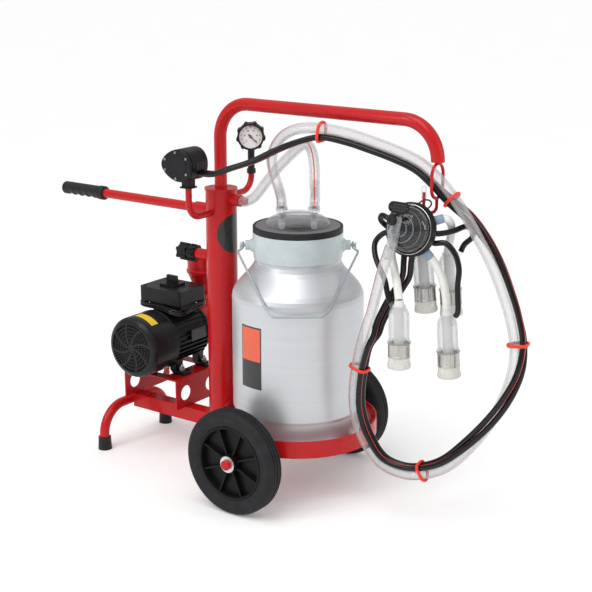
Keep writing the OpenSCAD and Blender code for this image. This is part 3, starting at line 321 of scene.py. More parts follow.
def rings_along(path, r, sides, first=(0, 1, 0), closed=False, flat=1.0):
    """Rings of points round a path, carried along it without twisting."""
    n = len(path)
    u = Vector(first)
    rings = []
    for i, c in enumerate(path):
        a = path[(i - 1) % n] if closed else path[max(i - 1, 0)]
        b = path[(i + 1) % n] if closed else path[min(i + 1, n - 1)]
        t = (b - a).normalized()
        u = (u - u.dot(t) * t).normalized()
        w = t.cross(u)
        radius = r(i / max(n - 1, 1)) if callable(r) else r
        rings.append([c + radius * (math.cos(2 * math.pi * k / sides) * u * flat
                                    + math.sin(2 * math.pi * k / sides) * w)
                      for k in range(sides)])
    return rings


def tube(name, path, r, materials, body, sides=24, first=(0, 1, 0), stripes=(),
         closed=False, flat=1.0, bore=None):
    """A round tube swept along a path, with coloured lines along chosen sides."""
    rings = rings_along(path, r, sides, first, closed, flat)
    verts = [v for ring in rings for v in ring]
    faces, slots = [], []
    count = len(rings)
    for i in range(count if closed else count - 1):
        j = (i + 1) % count
        for k in range(sides):
            m = (k + 1) % sides
            faces.append((i * sides + k, i * sides + m, j * sides + m, j * sides + k))
            slots.append(1 if k in stripes else 0)
    if bore:
        base = len(verts)
        verts += [v for ring in rings_along(path, bore, sides, first) for v in ring]
        for k in range(sides):
            m = (k + 1) % sides
            for i in range(count - 1):
                a, b = base + i * sides, base + (i + 1) * sides
                faces.append((a + m, a + k, b + k, b + m))
            end, inner_end = (count - 1) * sides, base + (count - 1) * sides
            faces.append((m, k, base + k, base + m))
            faces.append((end + k, end + m, inner_end + m, inner_end + k))
            slots += [0] * (count + 1)
    elif not closed:
        faces.append(tuple(range(sides - 1, -1, -1)))
        faces.append(tuple((count - 1) * sides + k for k in range(sides)))
        slots += [0, 0]
    return piece(name, verts, faces, materials, body, slots)


def lathe(name, profile, turn, material, body, sides=96, angle=30):
    """A profile of (radius, height) turned about the place's Z."""
    n = len(profile)
    verts, faces = [], []
    for k in range(sides):
        a = 2 * math.pi * k / sides
        verts += [(r * math.cos(a), r * math.sin(a), z) for r, z in profile]
    for k in range(sides):
        m = (k + 1) % sides
        for i in range(n):
            j = (i + 1) % n
            quad = [k * n + i, m * n + i, m * n + j, k * n + j]
            if profile[i][0] == 0 and profile[j][0] == 0:
                continue
            if profile[i][0] == 0:
                quad = [quad[0], quad[2], quad[3]]
            elif profile[j][0] == 0:
                quad = [quad[0], quad[1], quad[3]]
            faces.append(quad)
    obj = piece(name, verts, faces, material, body, turn=turn)
    weld(obj)
    return sharp(obj, angle)


def weld(obj, distance=0.00001):
    """Joins points that coincide and turns every face outwards."""
    bm = bmesh.new()
    bm.from_mesh(obj.data)
    bmesh.ops.remove_doubles(bm, verts=bm.verts, dist=distance)
    bmesh.ops.recalc_face_normals(bm, faces=bm.faces)
    bm.to_mesh(obj.data)
    bm.free()
    return obj


def slab(name, outline, z0, z1, turn, material, body, bevel=0.6, segments=3):
    """A flat outline given thickness, with softened edges."""
    n = len(outline)
    verts = [(x, y, z) for z in (z0, z1) for x, y in outline]
    faces = [tuple(range(n - 1, -1, -1)), tuple(range(n, 2 * n))]
    faces += [(i, (i + 1) % n, n + (i + 1) % n, n + i) for i in range(n)]
    obj = piece(name, verts, faces, material, body, turn=turn)
    weld(obj)
    return sharp(obj, 35, bevel, segments)


def circle(r, sides, x, y):
    """A flat round outline."""
    return [(x + r * math.cos(2 * math.pi * k / sides),
             y + r * math.sin(2 * math.pi * k / sides)) for k in range(sides)]


def rounded(w, h, r, steps=6):
    """A rectangle with round corners."""
    out = []
    for cx, cy, a0 in ((1, 1, 0), (-1, 1, 90), (-1, -1, 180), (1, -1, 270)):
        for s in range(steps + 1):
            a = math.radians(a0 + 90 * s / steps)
            out.append((cx * (w / 2 - r) + r * math.cos(a), cy * (h / 2 - r) + r * math.sin(a)))
    return out


# ---- hoses and cords

LOOP = [
    (280, -55, 992, 180), (350, -45, 985, 180), (416, -30, 968, 180), (481, -15, 948, 180),
    (535, -3, 925, 180), (581, 0, 893, 180), (628, -2, 850, 150), (668, -6, 806, 105),
    (707, -10, 755, 70), (745, -14, 700, 48), (776, -17, 640, 36), (801, -20, 580, 30),
    (815, -20, 520, 15), (816, -25, 460, -15), (800, -28, 395, -50), (770, -32, 325, -85),
    (722, -38, 250, -120), (664, -50, 185, -150), (600, -60, 150, -170),
    (540, -68, 140, -180), (478, -78, 160, -180), (436, -88, 220, -180),
    (414, -95, 290, -180), (412, -97, 350, -180), (420, -98, 410, -180),
    (434, -100, 470, -190)]
MILK_R = 13.5
MILK_BORE_R = 9.9
PULSE_R = 7.5
BUNDLE_GAP = 22.5
PAIR_HALF = 21.5
MILK_NOZZLE = (145.6, -40.8)
VACUUM_NOZZLE = (213.8, 8.35)
loop_points = [Vector(p[:3]) for p in LOOP]


def travel(i):
    """The direction of the hose loop at one of its points."""
    last = len(loop_points) - 1
    return (loop_points[min(i + 1, last)] - loop_points[max(i - 1, 0)]).normalized()


def outward(i):
    """Square to the loop, in its own plane."""
    return travel(i).cross(Vector((0, 1, 0))).normalized()


def beside(i, angle, distance):
    """A point beside the loop, at an angle round it."""
    a = math.radians(angle)
    return loop_points[i] + distance * (math.cos(a) * outward(i) + math.sin(a) * Vector((0, 1, 0)))


def outlet_point(s):
    """A point along the claw's milk outlet."""
    d = Vector((-0.2, 0.08, -0.976))
    return Vector((537, -130, 752)) + s * (rot(y=11).to_3x3() @ d)


def claw_point(p):
    """A point given in the claw's own space."""
    return CLAW @ Vector(p)


def main_nipple(side, s):
    """A point along one of the claw's two long pulse nipples."""
    return claw_point((-1 if side < 0 else -25, -54 - s, -25))


milk_start = [
    (*MILK_NOZZLE, 769), (MILK_NOZZLE[0] - 2, MILK_NOZZLE[1], 800), (154, -70, 838),
    (142, -72, 872), (137, -72, 905), (148, -70, 940), (176, -67, 970), (220, -62, 988)]
milk_end = [
    (450, -104, 515), (467, -107, 561), (483, -113, 609), (499, -119, 657), (512, -124, 690),
    outlet_point(40), outlet_point(14)]
milk_path = spline(milk_start + loop_points + milk_end, 8)
vacuum_path = spline([
    (-19.5, 0, 765), (-2, 0, 766), (26, 0, 782), (60, 0, 820), (98, 0, 862), (140, -4, 900),
    (176, -10, 928), (205, -18, 942), (228, -26, 930), (241, -32, 898), (246, -36, 850),
    (VACUUM_NOZZLE[0] + 2, VACUUM_NOZZLE[1], 805), (*VACUUM_NOZZLE, 769)], 10)
PULSE_SPREAD, END_SPREAD = 9, 8.7
END_ROUTE = [(470, -88, 500, 75), (477, -82, 533, 55), (499, -73, 584, 36),
             (526, -67, 631, 36), (538, -64, 656, 36)]


def pulse_route(side):
    """The run of a long pulse tube, from the pulsator to the claw."""
    w = -PULSE_SPREAD * side
    points = [(-43, -135 + w, 858), (1, -135 + w, 861), (40, -128 + w, 876),
              (110, -112 + w, 902), (170, -96 + w, 933), (222, -76 + w, 956)]
    points += [beside(i, LOOP[i][3] + side * PAIR_HALF, BUNDLE_GAP) for i in range(len(LOOP))]
    for x, y, z, turn in END_ROUTE:
        a = math.radians(turn)
        points.append((x - END_SPREAD * side * math.cos(a),
                       y - END_SPREAD * side * math.sin(a), z))
    points.append((549, -60, 690) if side < 0 else (531, -65, 690))
    return spline(points + [main_nipple(side, 0), main_nipple(side, -12)], 8)


milk_hose = tube("milk_hose_run", milk_path, MILK_R, [HOSE_CLEAR, STRIPE], "cart",
                 sides=32, stripes=(7, 8), bore=MILK_BORE_R)
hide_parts("milk_hose")
vacuum_hose = tube("vacuum_hose_run", vacuum_path, MILK_R, [HOSE_CLEAR, STRIPE], "cart",
                   sides=32, stripes=(10,), bore=MILK_BORE_R)
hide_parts("vacuum_hose")
pulse_tubes = []
for side, letter in ((-1, "a"), (1, "b")):
    obj = tube("pulse_run_" + letter, pulse_route(side), PULSE_R, [TUBE_BLACK, STRIPE], "cart",
               sides=20, stripes=(5,) if side < 0 else (14,))
    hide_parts("pulse_tube_" + letter)
    pulse_tubes.append(obj)


def hull(points):
    """Convex outline of flat points, anticlockwise."""
    pts = sorted(set((round(x, 4), round(y, 4)) for x, y in points))

    def half(seq):
        out = []
        for p in seq:
            while len(out) > 1 and ((out[-1][0] - out[-2][0]) * (p[1] - out[-2][1])
                                    - (out[-1][1] - out[-2][1]) * (p[0] - out[-2][0])) <= 0:
                out.pop()
            out.append(p)
        return out[:-1]

    return half(pts) + half(pts[::-1])


def even(points, count):
    """Points spaced evenly round a closed flat outline."""
    loop = points + [points[0]]
    steps = [math.dist(a, b) for a, b in zip(loop, loop[1:])]
    total = sum(steps)
    out, i, done = [], 0, 0.0
    for k in range(count):
        want = total * k / count
        while done + steps[i] < want:
            done += steps[i]
            i += 1
        t = (want - done) / steps[i]
        out.append((loop[i][0] * (1 - t) + loop[i + 1][0] * t,
                    loop[i][1] * (1 - t) + loop[i + 1][1] * t))
    return out


RING_WIRE = 3.4
for number, i in enumerate((0, 6, 12, 18, 24)):
    u = outward(i)
    v = Vector((0, 1, 0))
    tubes = [(0, 0, MILK_R)]
    for side in (-1, 1):
        a = math.radians(LOOP[i][3] + side * PAIR_HALF)
        tubes.append((BUNDLE_GAP * math.cos(a), BUNDLE_GAP * math.sin(a), PULSE_R))
    outline = hull([p for x, y, r in tubes for p in circle(r + RING_WIRE, 64, x, y)])
    path = [loop_points[i] + p[0] * u + p[1] * v for p in even(outline, 72)]
    ring = tube("hose_ring_%d" % number, path, RING_WIRE, RING_RED, "cart",
                sides=14, first=tuple(travel(i)), closed=True, flat=1.25)
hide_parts("hose_rings")

for obj, side in zip(pulse_tubes, (-1, 1)):
    path = pulse_route(side)

# Mains lead: out of the gland, four turns round the terminal box's neck, then the plug
CORD_R = 3.5
NECK_Y = 50
NECK_W, NECK_D, NECK_ROUND = 151, 119, 30
SAG_AT, SAG_REACH = (-238, -14), 80
SAG_FIRST, SAG_GROWTH = 6, 14


def neck_loop(grow, z):
    """One turn round the box's neck, starting at its rear left corner."""
    w, h, r = NECK_W + 2 * grow, NECK_D + 2 * grow, NECK_ROUND + grow
    corners = [(-1, 1, 90), (-1, -1, 180), (1, -1, 270), (1, 1, 360)]
    out = []
    for cx, cy, a0 in corners:
        for s in range(5):
            a = math.radians(a0 + 90 * s / 4)
            out.append(Vector((MOTOR_X + cx * (w / 2 - r) + r * math.cos(a),
                               NECK_Y + cy * (h / 2 - r) + r * math.sin(a), z)))
    return out


def filled(points, step):
    """The same path with points added on its long straight runs."""
    out = []
    for a, b in zip(points, points[1:]):
        a, b = Vector(a), Vector(b)
        n = max(1, int((b - a).length / step))
        out += [a + (b - a) * k / n for k in range(n)]
    return out + [Vector(points[-1])]


lead = [(-356, 137, 449), (-354, 147, 447), (-345, 153, 440), (-334, 149, 430),
        (-328, 136, 423), (-333, 121, 419), (-346, 112, 418)]
turns = []
for k, (grow, z) in enumerate(((0, 418), (0, 425.5), (7.6, 419), (7.6, 426.5))):
    turns += neck_loop(grow, z)
turns = filled([lead[-1]] + turns, 18)[1:]
for k, p in enumerate(turns):
    sag = max(0.0, 1 - math.dist((p.x, p.y), SAG_AT) / SAG_REACH)
    p.z -= (SAG_FIRST + SAG_GROWTH * k / len(turns)) * sag ** 1.5
tail = [(-290, 117, 431), (-318, 117, 434), (-346, 116, 434), (-372, 112, 433),
        (-392, 105, 430), (-408, 102, 420), (-418, 102, 404), (-423, 102, 386),
        (-425, 102, 368), (-425, 102, 352), (-425, 102, 334)]
cord_path = spline(lead + turns + tail, 3)
cord = tube("mains_lead", cord_path, CORD_R, TUBE_BLACK, "cart", sides=14)
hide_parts("power_cord", "cord_coil")


# ---- short tubes

MILK_NIPPLE_TURN, MILK_NIPPLE_LEAN = (-52, 218, 148, 28), 125
PULSE_NIPPLE_TURN = (-25, 195, 172, -2)
CUP_HEIGHT = 172
PORT_LEAN = 29


def milk_nipple(i, s):
    """A point along one of the claw's four milk nipples."""
    a = math.radians(MILK_NIPPLE_TURN[i])
    lean = math.radians(MILK_NIPPLE_LEAN)
    r = 53 + (26 + s) * math.sin(lean)
    return claw_point((r * math.cos(a), r * math.sin(a), -12 + (26 + s) * math.cos(lean)))


def pulse_nipple(i, s):
    """A point along one of the claw's four short pulse nipples."""
    a = math.radians(PULSE_NIPPLE_TURN[i])
    return claw_point(((54 + s) * math.cos(a), (54 + s) * math.sin(a), -25))


def cup_top(i):
    """The top of a teat cup, where its short milk tube starts."""
    return cup_place(i) @ Vector((0, 0, CUP_HEIGHT))


def cup_port(i, s):
    """A point along a teat cup's pulse port."""
    a = math.radians(PORT_TURN[i])
    lean = math.radians(PORT_LEAN)
    r = 17 + s * math.sin(lean)
    return cup_place(i) @ Vector((r * math.cos(a), r * math.sin(a), 136 + s * math.cos(lean)))


MILK_MIDDLES = [
    [(612, -48, 690), (627, -42, 655), (635, -40, 620)],
    [(487, -50, 710), (493, -58, 694), (511, -76, 673), (532, -97, 645)],
    [(480, -26, 813), (474, -12, 808), (484, 2, 794), (510, 6, 770), (533, 4, 746)],
    [(625, -27, 802), (626, -9, 788), (618, 12, 767), (606, 28, 742)]]
PULSE_MIDDLES = [
    [(634, -44, 746), (659, -42, 723), (671, -42, 687), (671, -46, 646)],
    [(464, -50, 750), (446, -60, 728), (454, -74, 700), (474, -84, 671), (494, -91, 645)],
    [(470, -46, 789), (450, -39, 791), (441, -29, 777), (448, -19, 763), (472, -14, 746)],
    [(625, -34, 769), (640, -12, 773), (652, 16, 779), (658, 40, 770), (652, 54, 746)]]
NIPPLE_REACH = [6, 6, 4, 4]
PORT_REACH = [44, 46, 46, 46]
SHORT_MILK_R, SHORT_PULSE_R = 10, 7
for i in range(CUP_COUNT):
    path = spline([milk_nipple(i, -12), milk_nipple(i, 0)] + MILK_MIDDLES[i] + [cup_top(i)], 8)
    obj = tube("short_milk_%d" % i, path, SHORT_MILK_R, MILKY, "cart", sides=24)
    path = spline([pulse_nipple(i, -12), pulse_nipple(i, NIPPLE_REACH[i])] + PULSE_MIDDLES[i]
                  + [cup_port(i, PORT_REACH[i]), cup_port(i, 26)], 8)
    obj = tube("short_pulse_%d" % i, path, SHORT_PULSE_R, TUBE_BLACK, "cart",
               sides=20)
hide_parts("short_milk_tubes")
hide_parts("short_pulse_tubes")

# ---- finishes of the details

WHITE_PRINT = finish_of("white_face", (0.86, 0.86, 0.84), rough=0.35, vary=0.03, bump=0.05)
GREY_PRINT = finish_of("grey_print", (0.30, 0.31, 0.32), rough=0.4, vary=0.06, bump=0.05)
BLACK_PRINT = finish_of("black_label", (0.012, 0.012, 0.013), rough=0.22, vary=0.15, bump=0.06,
                        coat=0.3)
ORANGE_PRINT = finish_of("orange_label", (0.72, 0.11, 0.05), rough=0.28, vary=0.05, bump=0.06)
YELLOW_PRINT = finish_of("yellow_label", (0.86, 0.55, 0.02), rough=0.32, vary=0.04, bump=0.06)
LID_GREY = finish_of("lid_ring", (0.15, 0.15, 0.155), rough=0.35, vary=0.12, scale=300,
                     bump=0.2, bump_scale=300)
DOME_CLEAR = see_through("dome_clear", (0.55, 0.54, 0.57), 0.05, rough=0.03, edge=0.5)
TEE_CLEAR = see_through("tee_clear", (0.66, 0.68, 0.70), 0.14, rough=0.04, edge=0.7)
WIRE = finish_of("plated_wire", (0.36, 0.40, 0.42), rough=0.34, metal=0.5, vary=0.05, bump=0.0)
STUD = finish_of("stud_rubber", (0.05, 0.05, 0.052), rough=0.5, vary=0.1, bump=0.1,
                 specular=0.3)
PLATE_DARK = finish_of("dark_plate", (0.05, 0.05, 0.052), rough=0.35, vary=0.15, bump=0.05,
                       specular=0.4)
SCREW = finish_of("dark_screw", (0.34, 0.34, 0.35), rough=0.35, metal=0.9, vary=0.1, bump=0.1)
STEEL_CUP = finish_of("drawn_steel", (0.50, 0.48, 0.45), rough=0.26, metal=1.0, vary=0.16,
                      scale=22, wear=0.1, bump=0.2, bump_scale=60, bump_depth=0.0002,
                      stretch=(12, 12, 0.4))


def curved_patch(name, centre, axis_turn, r, a0, a1, z0, z1, material, body, thick=0.35,
                 oval=False):
    """A thin label wrapped round a cylinder, rectangular or oval."""
    verts, faces = [], []
    rows, steps = 24, 24
    for depth in (0, thick):
        for j in range(rows + 1):
            v = j / rows
            for i in range(steps + 1):
                u = i / steps
                if oval:
                    y = 2 * v - 1
                    y = math.sin(y * math.pi / 2)
                    half = math.sqrt(max(0.0, 1 - y * y))
                    x = (2 * u - 1) * half
                else:
                    x, y = 2 * u - 1, 2 * v - 1
                a = math.radians((a0 + a1) / 2 + x * (a1 - a0) / 2)
                verts.append(((r + depth) * math.cos(a), (r + depth) * math.sin(a),
                              (z0 + z1) / 2 + y * (z1 - z0) / 2))
    n = (rows + 1) * (steps + 1)
    w = steps + 1
    for j in range(rows):
        for i in range(steps):
            a = j * w + i
            faces.append((a, a + w, a + w + 1, a + 1))
            faces.append((n + a, n + a + 1, n + a + w + 1, n + a + w))
    edge = ([i for i in range(w)] + [j * w + steps for j in range(1, rows + 1)]
            + [rows * w + i for i in range(steps - 1, -1, -1)]
            + [j * w for j in range(rows - 1, 0, -1)])
    for a, b in zip(edge, edge[1:] + edge[:1]):
        faces.append((a, b, n + b, n + a))
    obj = piece(name, verts, faces, material, body,
                turn=Matrix.Translation(Vector(centre)) @ axis_turn)
    weld(obj)
    return sharp(obj, 40)


# ---- labels

curved_patch("tank_label", (-89, 0, 0), Matrix.Identity(4), 42.6, -68, 74, 618, 726,
             BLACK_PRINT, "cart", oval=True)
curved_patch("can_label", (168, 0, 0), Matrix.Identity(4), 175.1, -110, -87, 317, 484,
             BLACK_PRINT, "cart")
curved_patch("can_label_field", (168, 0, 0), Matrix.Identity(4), 175.45, -109, -88, 392, 480,
             ORANGE_PRINT, "cart", thick=0.2)
curved_patch("cowl_label", (MOTOR_X, 0, MOTOR_Z), rot(x=90), 88.1, 52, 96, 77, 104,
             YELLOW_PRINT, "cart")

# ---- can lid

DOME_R, DOME_INNER_R, DOME_Z = 84, 81.5, 728
lid_ring = lathe("lid_ring", [(84, 708.1), (112, 708.1), (112, 723.2), (111, 724), (85, 724),
                              (84, 723.2)], CAN, LID_GREY, "cart")
lathe("lid_band", [(112, 708.1), (117.5, 708.1), (118.6, 709.2), (118.6, 722.8),
                   (117.2, 724.6), (113, 724.6), (112, 723.6)], CAN, RUBBER, "cart")
dome_profile = [(84, 724), (84.5, 727)]
dome_profile += [(DOME_R * math.cos(math.radians(a)),
                  DOME_Z + 30 * math.sin(math.radians(a)))
                 for a in range(6, 90, 6)] + [(0, 758)]
dome_profile += [(0, 755.5)] + [(DOME_INNER_R * math.cos(math.radians(a)),
                                 DOME_Z + 27.5 * math.sin(math.radians(a)))
                                for a in range(84, 0, -6)] + [(81.8, 724)]
lathe("lid_dome", dome_profile, CAN, DOME_CLEAR, "cart")
lathe("lid_gasket", [(34, 716), (36, 714), (84, 714), (84, 720), (60, 721), (36, 718)], CAN,
      RUBBER, "cart")
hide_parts("can_lid")
for k, (x, y) in enumerate((MILK_NOZZLE, VACUUM_NOZZLE)):
    lathe("nozzle_cuff_%d" % k, [(13.6, 768), (15.2, 768), (16, 769), (16, 774), (15.2, 775),
                                 (13.6, 775)], place((x, y, 0)), TEE_CLEAR, "cart",
          sides=48)
    elbow = [(x, y, 758), (x, y, 745), (x + 2, y - 4, 735), (x + 8, y - 12, 729),
             (x + 14, y - 20, 728)]
    tube("nozzle_elbow_%d" % k, spline(elbow, 6), 8, TEE_CLEAR, "cart", sides=20)

# ---- pulsator

def egg(w, h, n):
    """A rounded outline that is taller towards its +X end."""
    return [(w / 2 * math.cos(a), h / 2 * math.sin(a) * (1 + 0.22 * math.cos(a)))
            for a in (2 * math.pi * k / n for k in range(n))]


PULSATOR_X, PULSATOR_Z = -92, 879
PULSATOR = place((PULSATOR_X, -172.1, PULSATOR_Z), x=90)
cover = slab("pulsator_cover_shell", egg(99.6, 83.6, 72), 0, 9.9, PULSATOR, BLACK_PLASTIC,
             "cart", bevel=3.2, segments=4)
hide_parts("pulsator_cover")
slab("pulsator_plate", egg(72, 56, 60), 9.4, 11.2, PULSATOR, BLACK_PLASTIC, "cart",
     bevel=0.8)
for k in range(6):
    a = math.radians(30 + 60 * k)
    x = 41 * math.cos(a)
    y = 34 * math.sin(a) * (1 + 0.22 * math.cos(a))
    lathe("pulsator_screw_%d" % k, [(0, 9.5), (3.4, 9.5), (3.4, 11.4), (2.6, 12.3), (1.6, 12.4),
                                    (1.5, 11.2), (0, 11.2)],
          PULSATOR @ Matrix.Translation((x, y, 0)), SCREW, "cart", sides=24)
for k in range(7):
    slab("pulsator_vent_%d" % k, rounded(1.6, 22, 0.7, 3), 0, 1.6,
         place((PULSATOR_X + 52.4 - abs(k - 3) * 0.5, -120 - 6 * k, PULSATOR_Z), y=90)
         @ rot(z=90),
         PLATE_DARK, "cart", bevel=0.3)

# ---- gauge

case = lathe("gauge_case_shell", [(0, 0), (33.4, 0), (34, 0.8), (34, 27.4), (33.4, 28),
                                  (32, 28), (32, 20), (0, 20)], GAUGE, CHROME, "cart")
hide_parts("gauge_case")
lathe("gauge_stem", [(0, 814.1), (11.5, 814.1), (12.4, 815), (12.4, 826), (11.5, 827),
                     (9.5, 828), (9.5, 898), (8, 900), (0, 900)], place((-89, 135, 0)),
      RUBBER, "cart", sides=48)
lathe("gauge_dial", [(0, 20.05), (31.9, 20.05), (31.9, 20.6), (0, 20.6)], GAUGE, WHITE_PRINT,
      "cart", sides=72)
lathe("gauge_rim", [(31.4, 27.6), (36.2, 27.6), (36.9, 28.4), (36.9, 30), (35.6, 31.2),
                    (32.4, 30.6), (31.4, 29.6)], GAUGE, RUBBER, "cart")


def bars(name, rows, turn, material, body):
    """One piece made of straight bars: each a turn, two ends, a half width and two heights."""
    verts, faces = [], []
    for own_turn, x0, x1, w, z0, z1 in rows:
        base = len(verts)
        for z in (z0, z1):
            for x, y in ((x0, -w), (x1, -w), (x1, w), (x0, w)):
                verts.append(tuple(own_turn @ Vector((x, y, z))))
        for quad in ((3, 2, 1, 0), (4, 5, 6, 7), (0, 1, 5, 4), (1, 2, 6, 5), (2, 3, 7, 6),
                     (3, 0, 4, 7)):
            faces.append(tuple(base + q for q in quad))
    piece(name, verts, faces, material, body, smooth=False, turn=turn)


DIAL_START, DIAL_SWEEP, DIAL_TICKS, DIAL_LONG_EVERY = 225, 270, 50, 5
ticks = []
for k in range(DIAL_TICKS + 1):
    a = DIAL_START - DIAL_SWEEP * k / DIAL_TICKS
    long = k % DIAL_LONG_EVERY == 0
    ticks.append((rot(z=a), 22.5 if long else 25.5, 29, 0.45 if long else 0.2, 20.5, 20.8))
bars("gauge_ticks", ticks, GAUGE, BLACK_PRINT, "cart")
bars("gauge_red_mark", [(rot(z=96 - 12 * k / 7), 26.2, 29.6, 0.32, 20.8, 21.0)
                        for k in range(8)], GAUGE, STRIPE, "cart")
DIAL_WORDS = ("0", "20", "40", "60", "80", "100")
for k, word in enumerate(DIAL_WORDS):
    a = math.radians(DIAL_START - 54 * k)
    text = bpy.data.curves.new("gauge_number_%d" % k, "FONT")
    text.body = word
    text.size = 6.5 * MM
    text.align_x = "CENTER"
    text.align_y = "CENTER"
    text.extrude = 0.12 * MM
    text.materials.append(BLACK_PRINT)
    obj = bpy.data.objects.new("gauge_number_%d" % k, text)
    scene.collection.objects.link(obj)
    spot = GAUGE @ Vector((17.5 * math.cos(a), 17.5 * math.sin(a), 20.7))
    obj.matrix_world = (Matrix.Translation(spot * MM) @ GAUGE.to_3x3().to_4x4())
    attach(obj, "cart")

# ---- claw

BOWL_R, BOWL_INNER_R, BOWL_Z = 57, 54, -3
bowl_profile = [(61, 2.2), (61, 8), (57.5, 8.5)]
for a in range(4, 88, 7):
    c, s = math.cos(math.radians(a)), math.sin(math.radians(a))
    r = BOWL_R * c
    z = BOWL_Z + BOWL_R * s
    if z > 8.8:
        step = 0.9 * (1 if (a // 7) % 2 else 0)
        bowl_profile.append((r + step * c, z + step * s))
bowl_profile += [(0, 54), (0, 51)]
bowl_profile += [(BOWL_INNER_R * math.cos(math.radians(a)),
                  BOWL_Z + BOWL_INNER_R * math.sin(math.radians(a)))
                 for a in range(84, 10, -6)] + [(53, 2.2)]
bowl = lathe("claw_bowl_skin", bowl_profile, CLAW, SMOKY, "cart", sides=128, angle=50)
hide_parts("claw_bowl")
lathe("claw_chamber", [(0, 2), (50, 2), (50, 3.2), (40, 4), (39, 7), (31, 8), (30, 12),
                       (20, 13), (19, 18), (0, 20)], CLAW, BLACK_PLASTIC, "cart",
      sides=96)
for k, (r, z, w) in enumerate(((60.6, 9.0, 1.4), (52.8, 8.6, 1.0))):
    lathe("claw_band_%d" % k, [(r - w, z), (r, z), (r + 0.4, z + 0.8), (r - w / 2, z + 1.4),
                               (r - w, z + 0.9)], CLAW, STEEL, "cart", sides=96)
RIDGE_TOP_R, RIDGE_ROOT_R, RIDGE_HALF = 58.6, 55, 1.5
for k, a in enumerate((22, 38, 56, 72)):
    c, s = math.cos(math.radians(a)), math.sin(math.radians(a))
    ridge = [(BOWL_R * c - RIDGE_HALF * s, BOWL_R * s + BOWL_Z + RIDGE_HALF * c),
             (RIDGE_TOP_R * c, RIDGE_TOP_R * s + BOWL_Z),
             (BOWL_R * c + RIDGE_HALF * s, BOWL_R * s + BOWL_Z - RIDGE_HALF * c),
             (RIDGE_ROOT_R * c, RIDGE_ROOT_R * s + BOWL_Z)]
    lathe("claw_ridge_%d" % k, ridge, CLAW, TEE_CLEAR, "cart", sides=96)
bars("claw_ribs", [(rot(z=5 * k), 63.8, 66.0, 0.9, -8.5, 8.0) for k in range(72)], CLAW,
     BLACK_PLASTIC, "cart")
lathe("claw_tee", [(6.5, -4), (13, -8), (13, 22), (14.6, 23), (14.6, 30), (13, 31), (13, 53),
                   (10.5, 53), (10.5, 22), (6.5, 22)], OUTLET, TEE_CLEAR, "cart",
      sides=64)
spigot = spline([outlet_point(-2), outlet_point(20), outlet_point(44)], 4)
tube("claw_spigot", spigot, 10.2, TEE_CLEAR, "cart", sides=32)
milk_cap_colour = finish_of("nipple_blue_grey", (0.24, 0.31, 0.42), rough=0.35, vary=0.08,
                            bump=0.2)
for i in range(CUP_COUNT):
    root = milk_nipple(i, -20)
    tip = milk_nipple(i, 4)
    tube("milk_nipple_%d" % i, [root, root.lerp(tip, 0.5), root.lerp(tip, 0.9), tip],
         lambda t: 11.2 - 0.8 * t, milk_cap_colour, "cart", sides=32)
PAD_Z, PAD_TILT = 88, 78
pad_place = OUTLET @ Matrix.Translation((0, 0, PAD_Z)) @ rot(x=PAD_TILT, z=VIEW_TURN)
pad = slab("claw_pad", rounded(50, 27, 12, 10), -5.5, 4.6, pad_place, RUBBER, "valve",
           bevel=2.4, segments=4)
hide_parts("claw_valve")
lathe("valve_stem", [(0, 24), (10.3, 24), (10.3, 46), (9, 50), (5, 53), (5, 84), (0, 84)],
      OUTLET, RUBBER, "valve", sides=48)
STUD_PITCH_X, STUD_PITCH_Y = 6.2, 6.6
studs = [(Matrix.Translation((i * STUD_PITCH_X, j * STUD_PITCH_Y, 0)), -2.3, 2.3, 2.4, 4.3, 5.5)
         for i in range(-3, 4) for j in range(-1, 2) if not (abs(i) == 3 and j)]
bars("claw_pad_studs", studs, pad_place, STUD, "valve")
knob = aimed((547, -139, 810), (-0.25, -1.0, 0.12))
lathe("shutoff_body", [(0, -16), (9, -16), (9, 2), (0, 2)], knob, TEE_CLEAR, "cart",
      sides=40)
lathe("shutoff_knob", [(0, 2), (11.5, 2), (12.6, 3.2), (12.6, 12.4), (11.4, 14), (5, 14.4),
                       (4.4, 13), (0, 13)], knob, RUBBER, "cart", sides=40)
bars("shutoff_knurl", [(rot(z=15 * k), 11.8, 13.3, 0.7, 3.6, 12.2) for k in range(24)], knob,
     RUBBER, "cart")

# ---- bail, grip and cowl

BAIL_Z, BAIL_DROP = 670, -52.6
BAIL_PIVOT_X, BAIL_EYE_R = 144, 7.6
BAIL = CAN @ Matrix.Translation((0, 0, BAIL_Z)) @ rot(x=BAIL_DROP)
bail_side = [(144, -8), (148, -13), (153, -18), (156, -26), (138, -71), (119, -118),
             (100, -165), (80, -212), (74, -223), (65, -231), (52, -236)]
bail_line = [(x, 0, z) for x, z in bail_side] + [(-x, 0, z) for x, z in reversed(bail_side)]
bail = tube("bail_wire", [BAIL @ p for p in spline(bail_line, 6)], 3, WIRE, "bail",
            sides=16)
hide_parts("can_bail")
for side in (-1, 1):
    ring_path = [BAIL @ Vector((side * BAIL_PIVOT_X, BAIL_EYE_R * math.cos(a),
                                BAIL_EYE_R * math.sin(a)))
                 for a in (2 * math.pi * k / 32 for k in range(32))]
    tube("bail_eye_" + ("a" if side < 0 else "b"), ring_path, 2.4, WIRE, "bail",
         sides=12, first=tuple(BAIL.to_3x3() @ Vector((1, 0, 0))), closed=True)

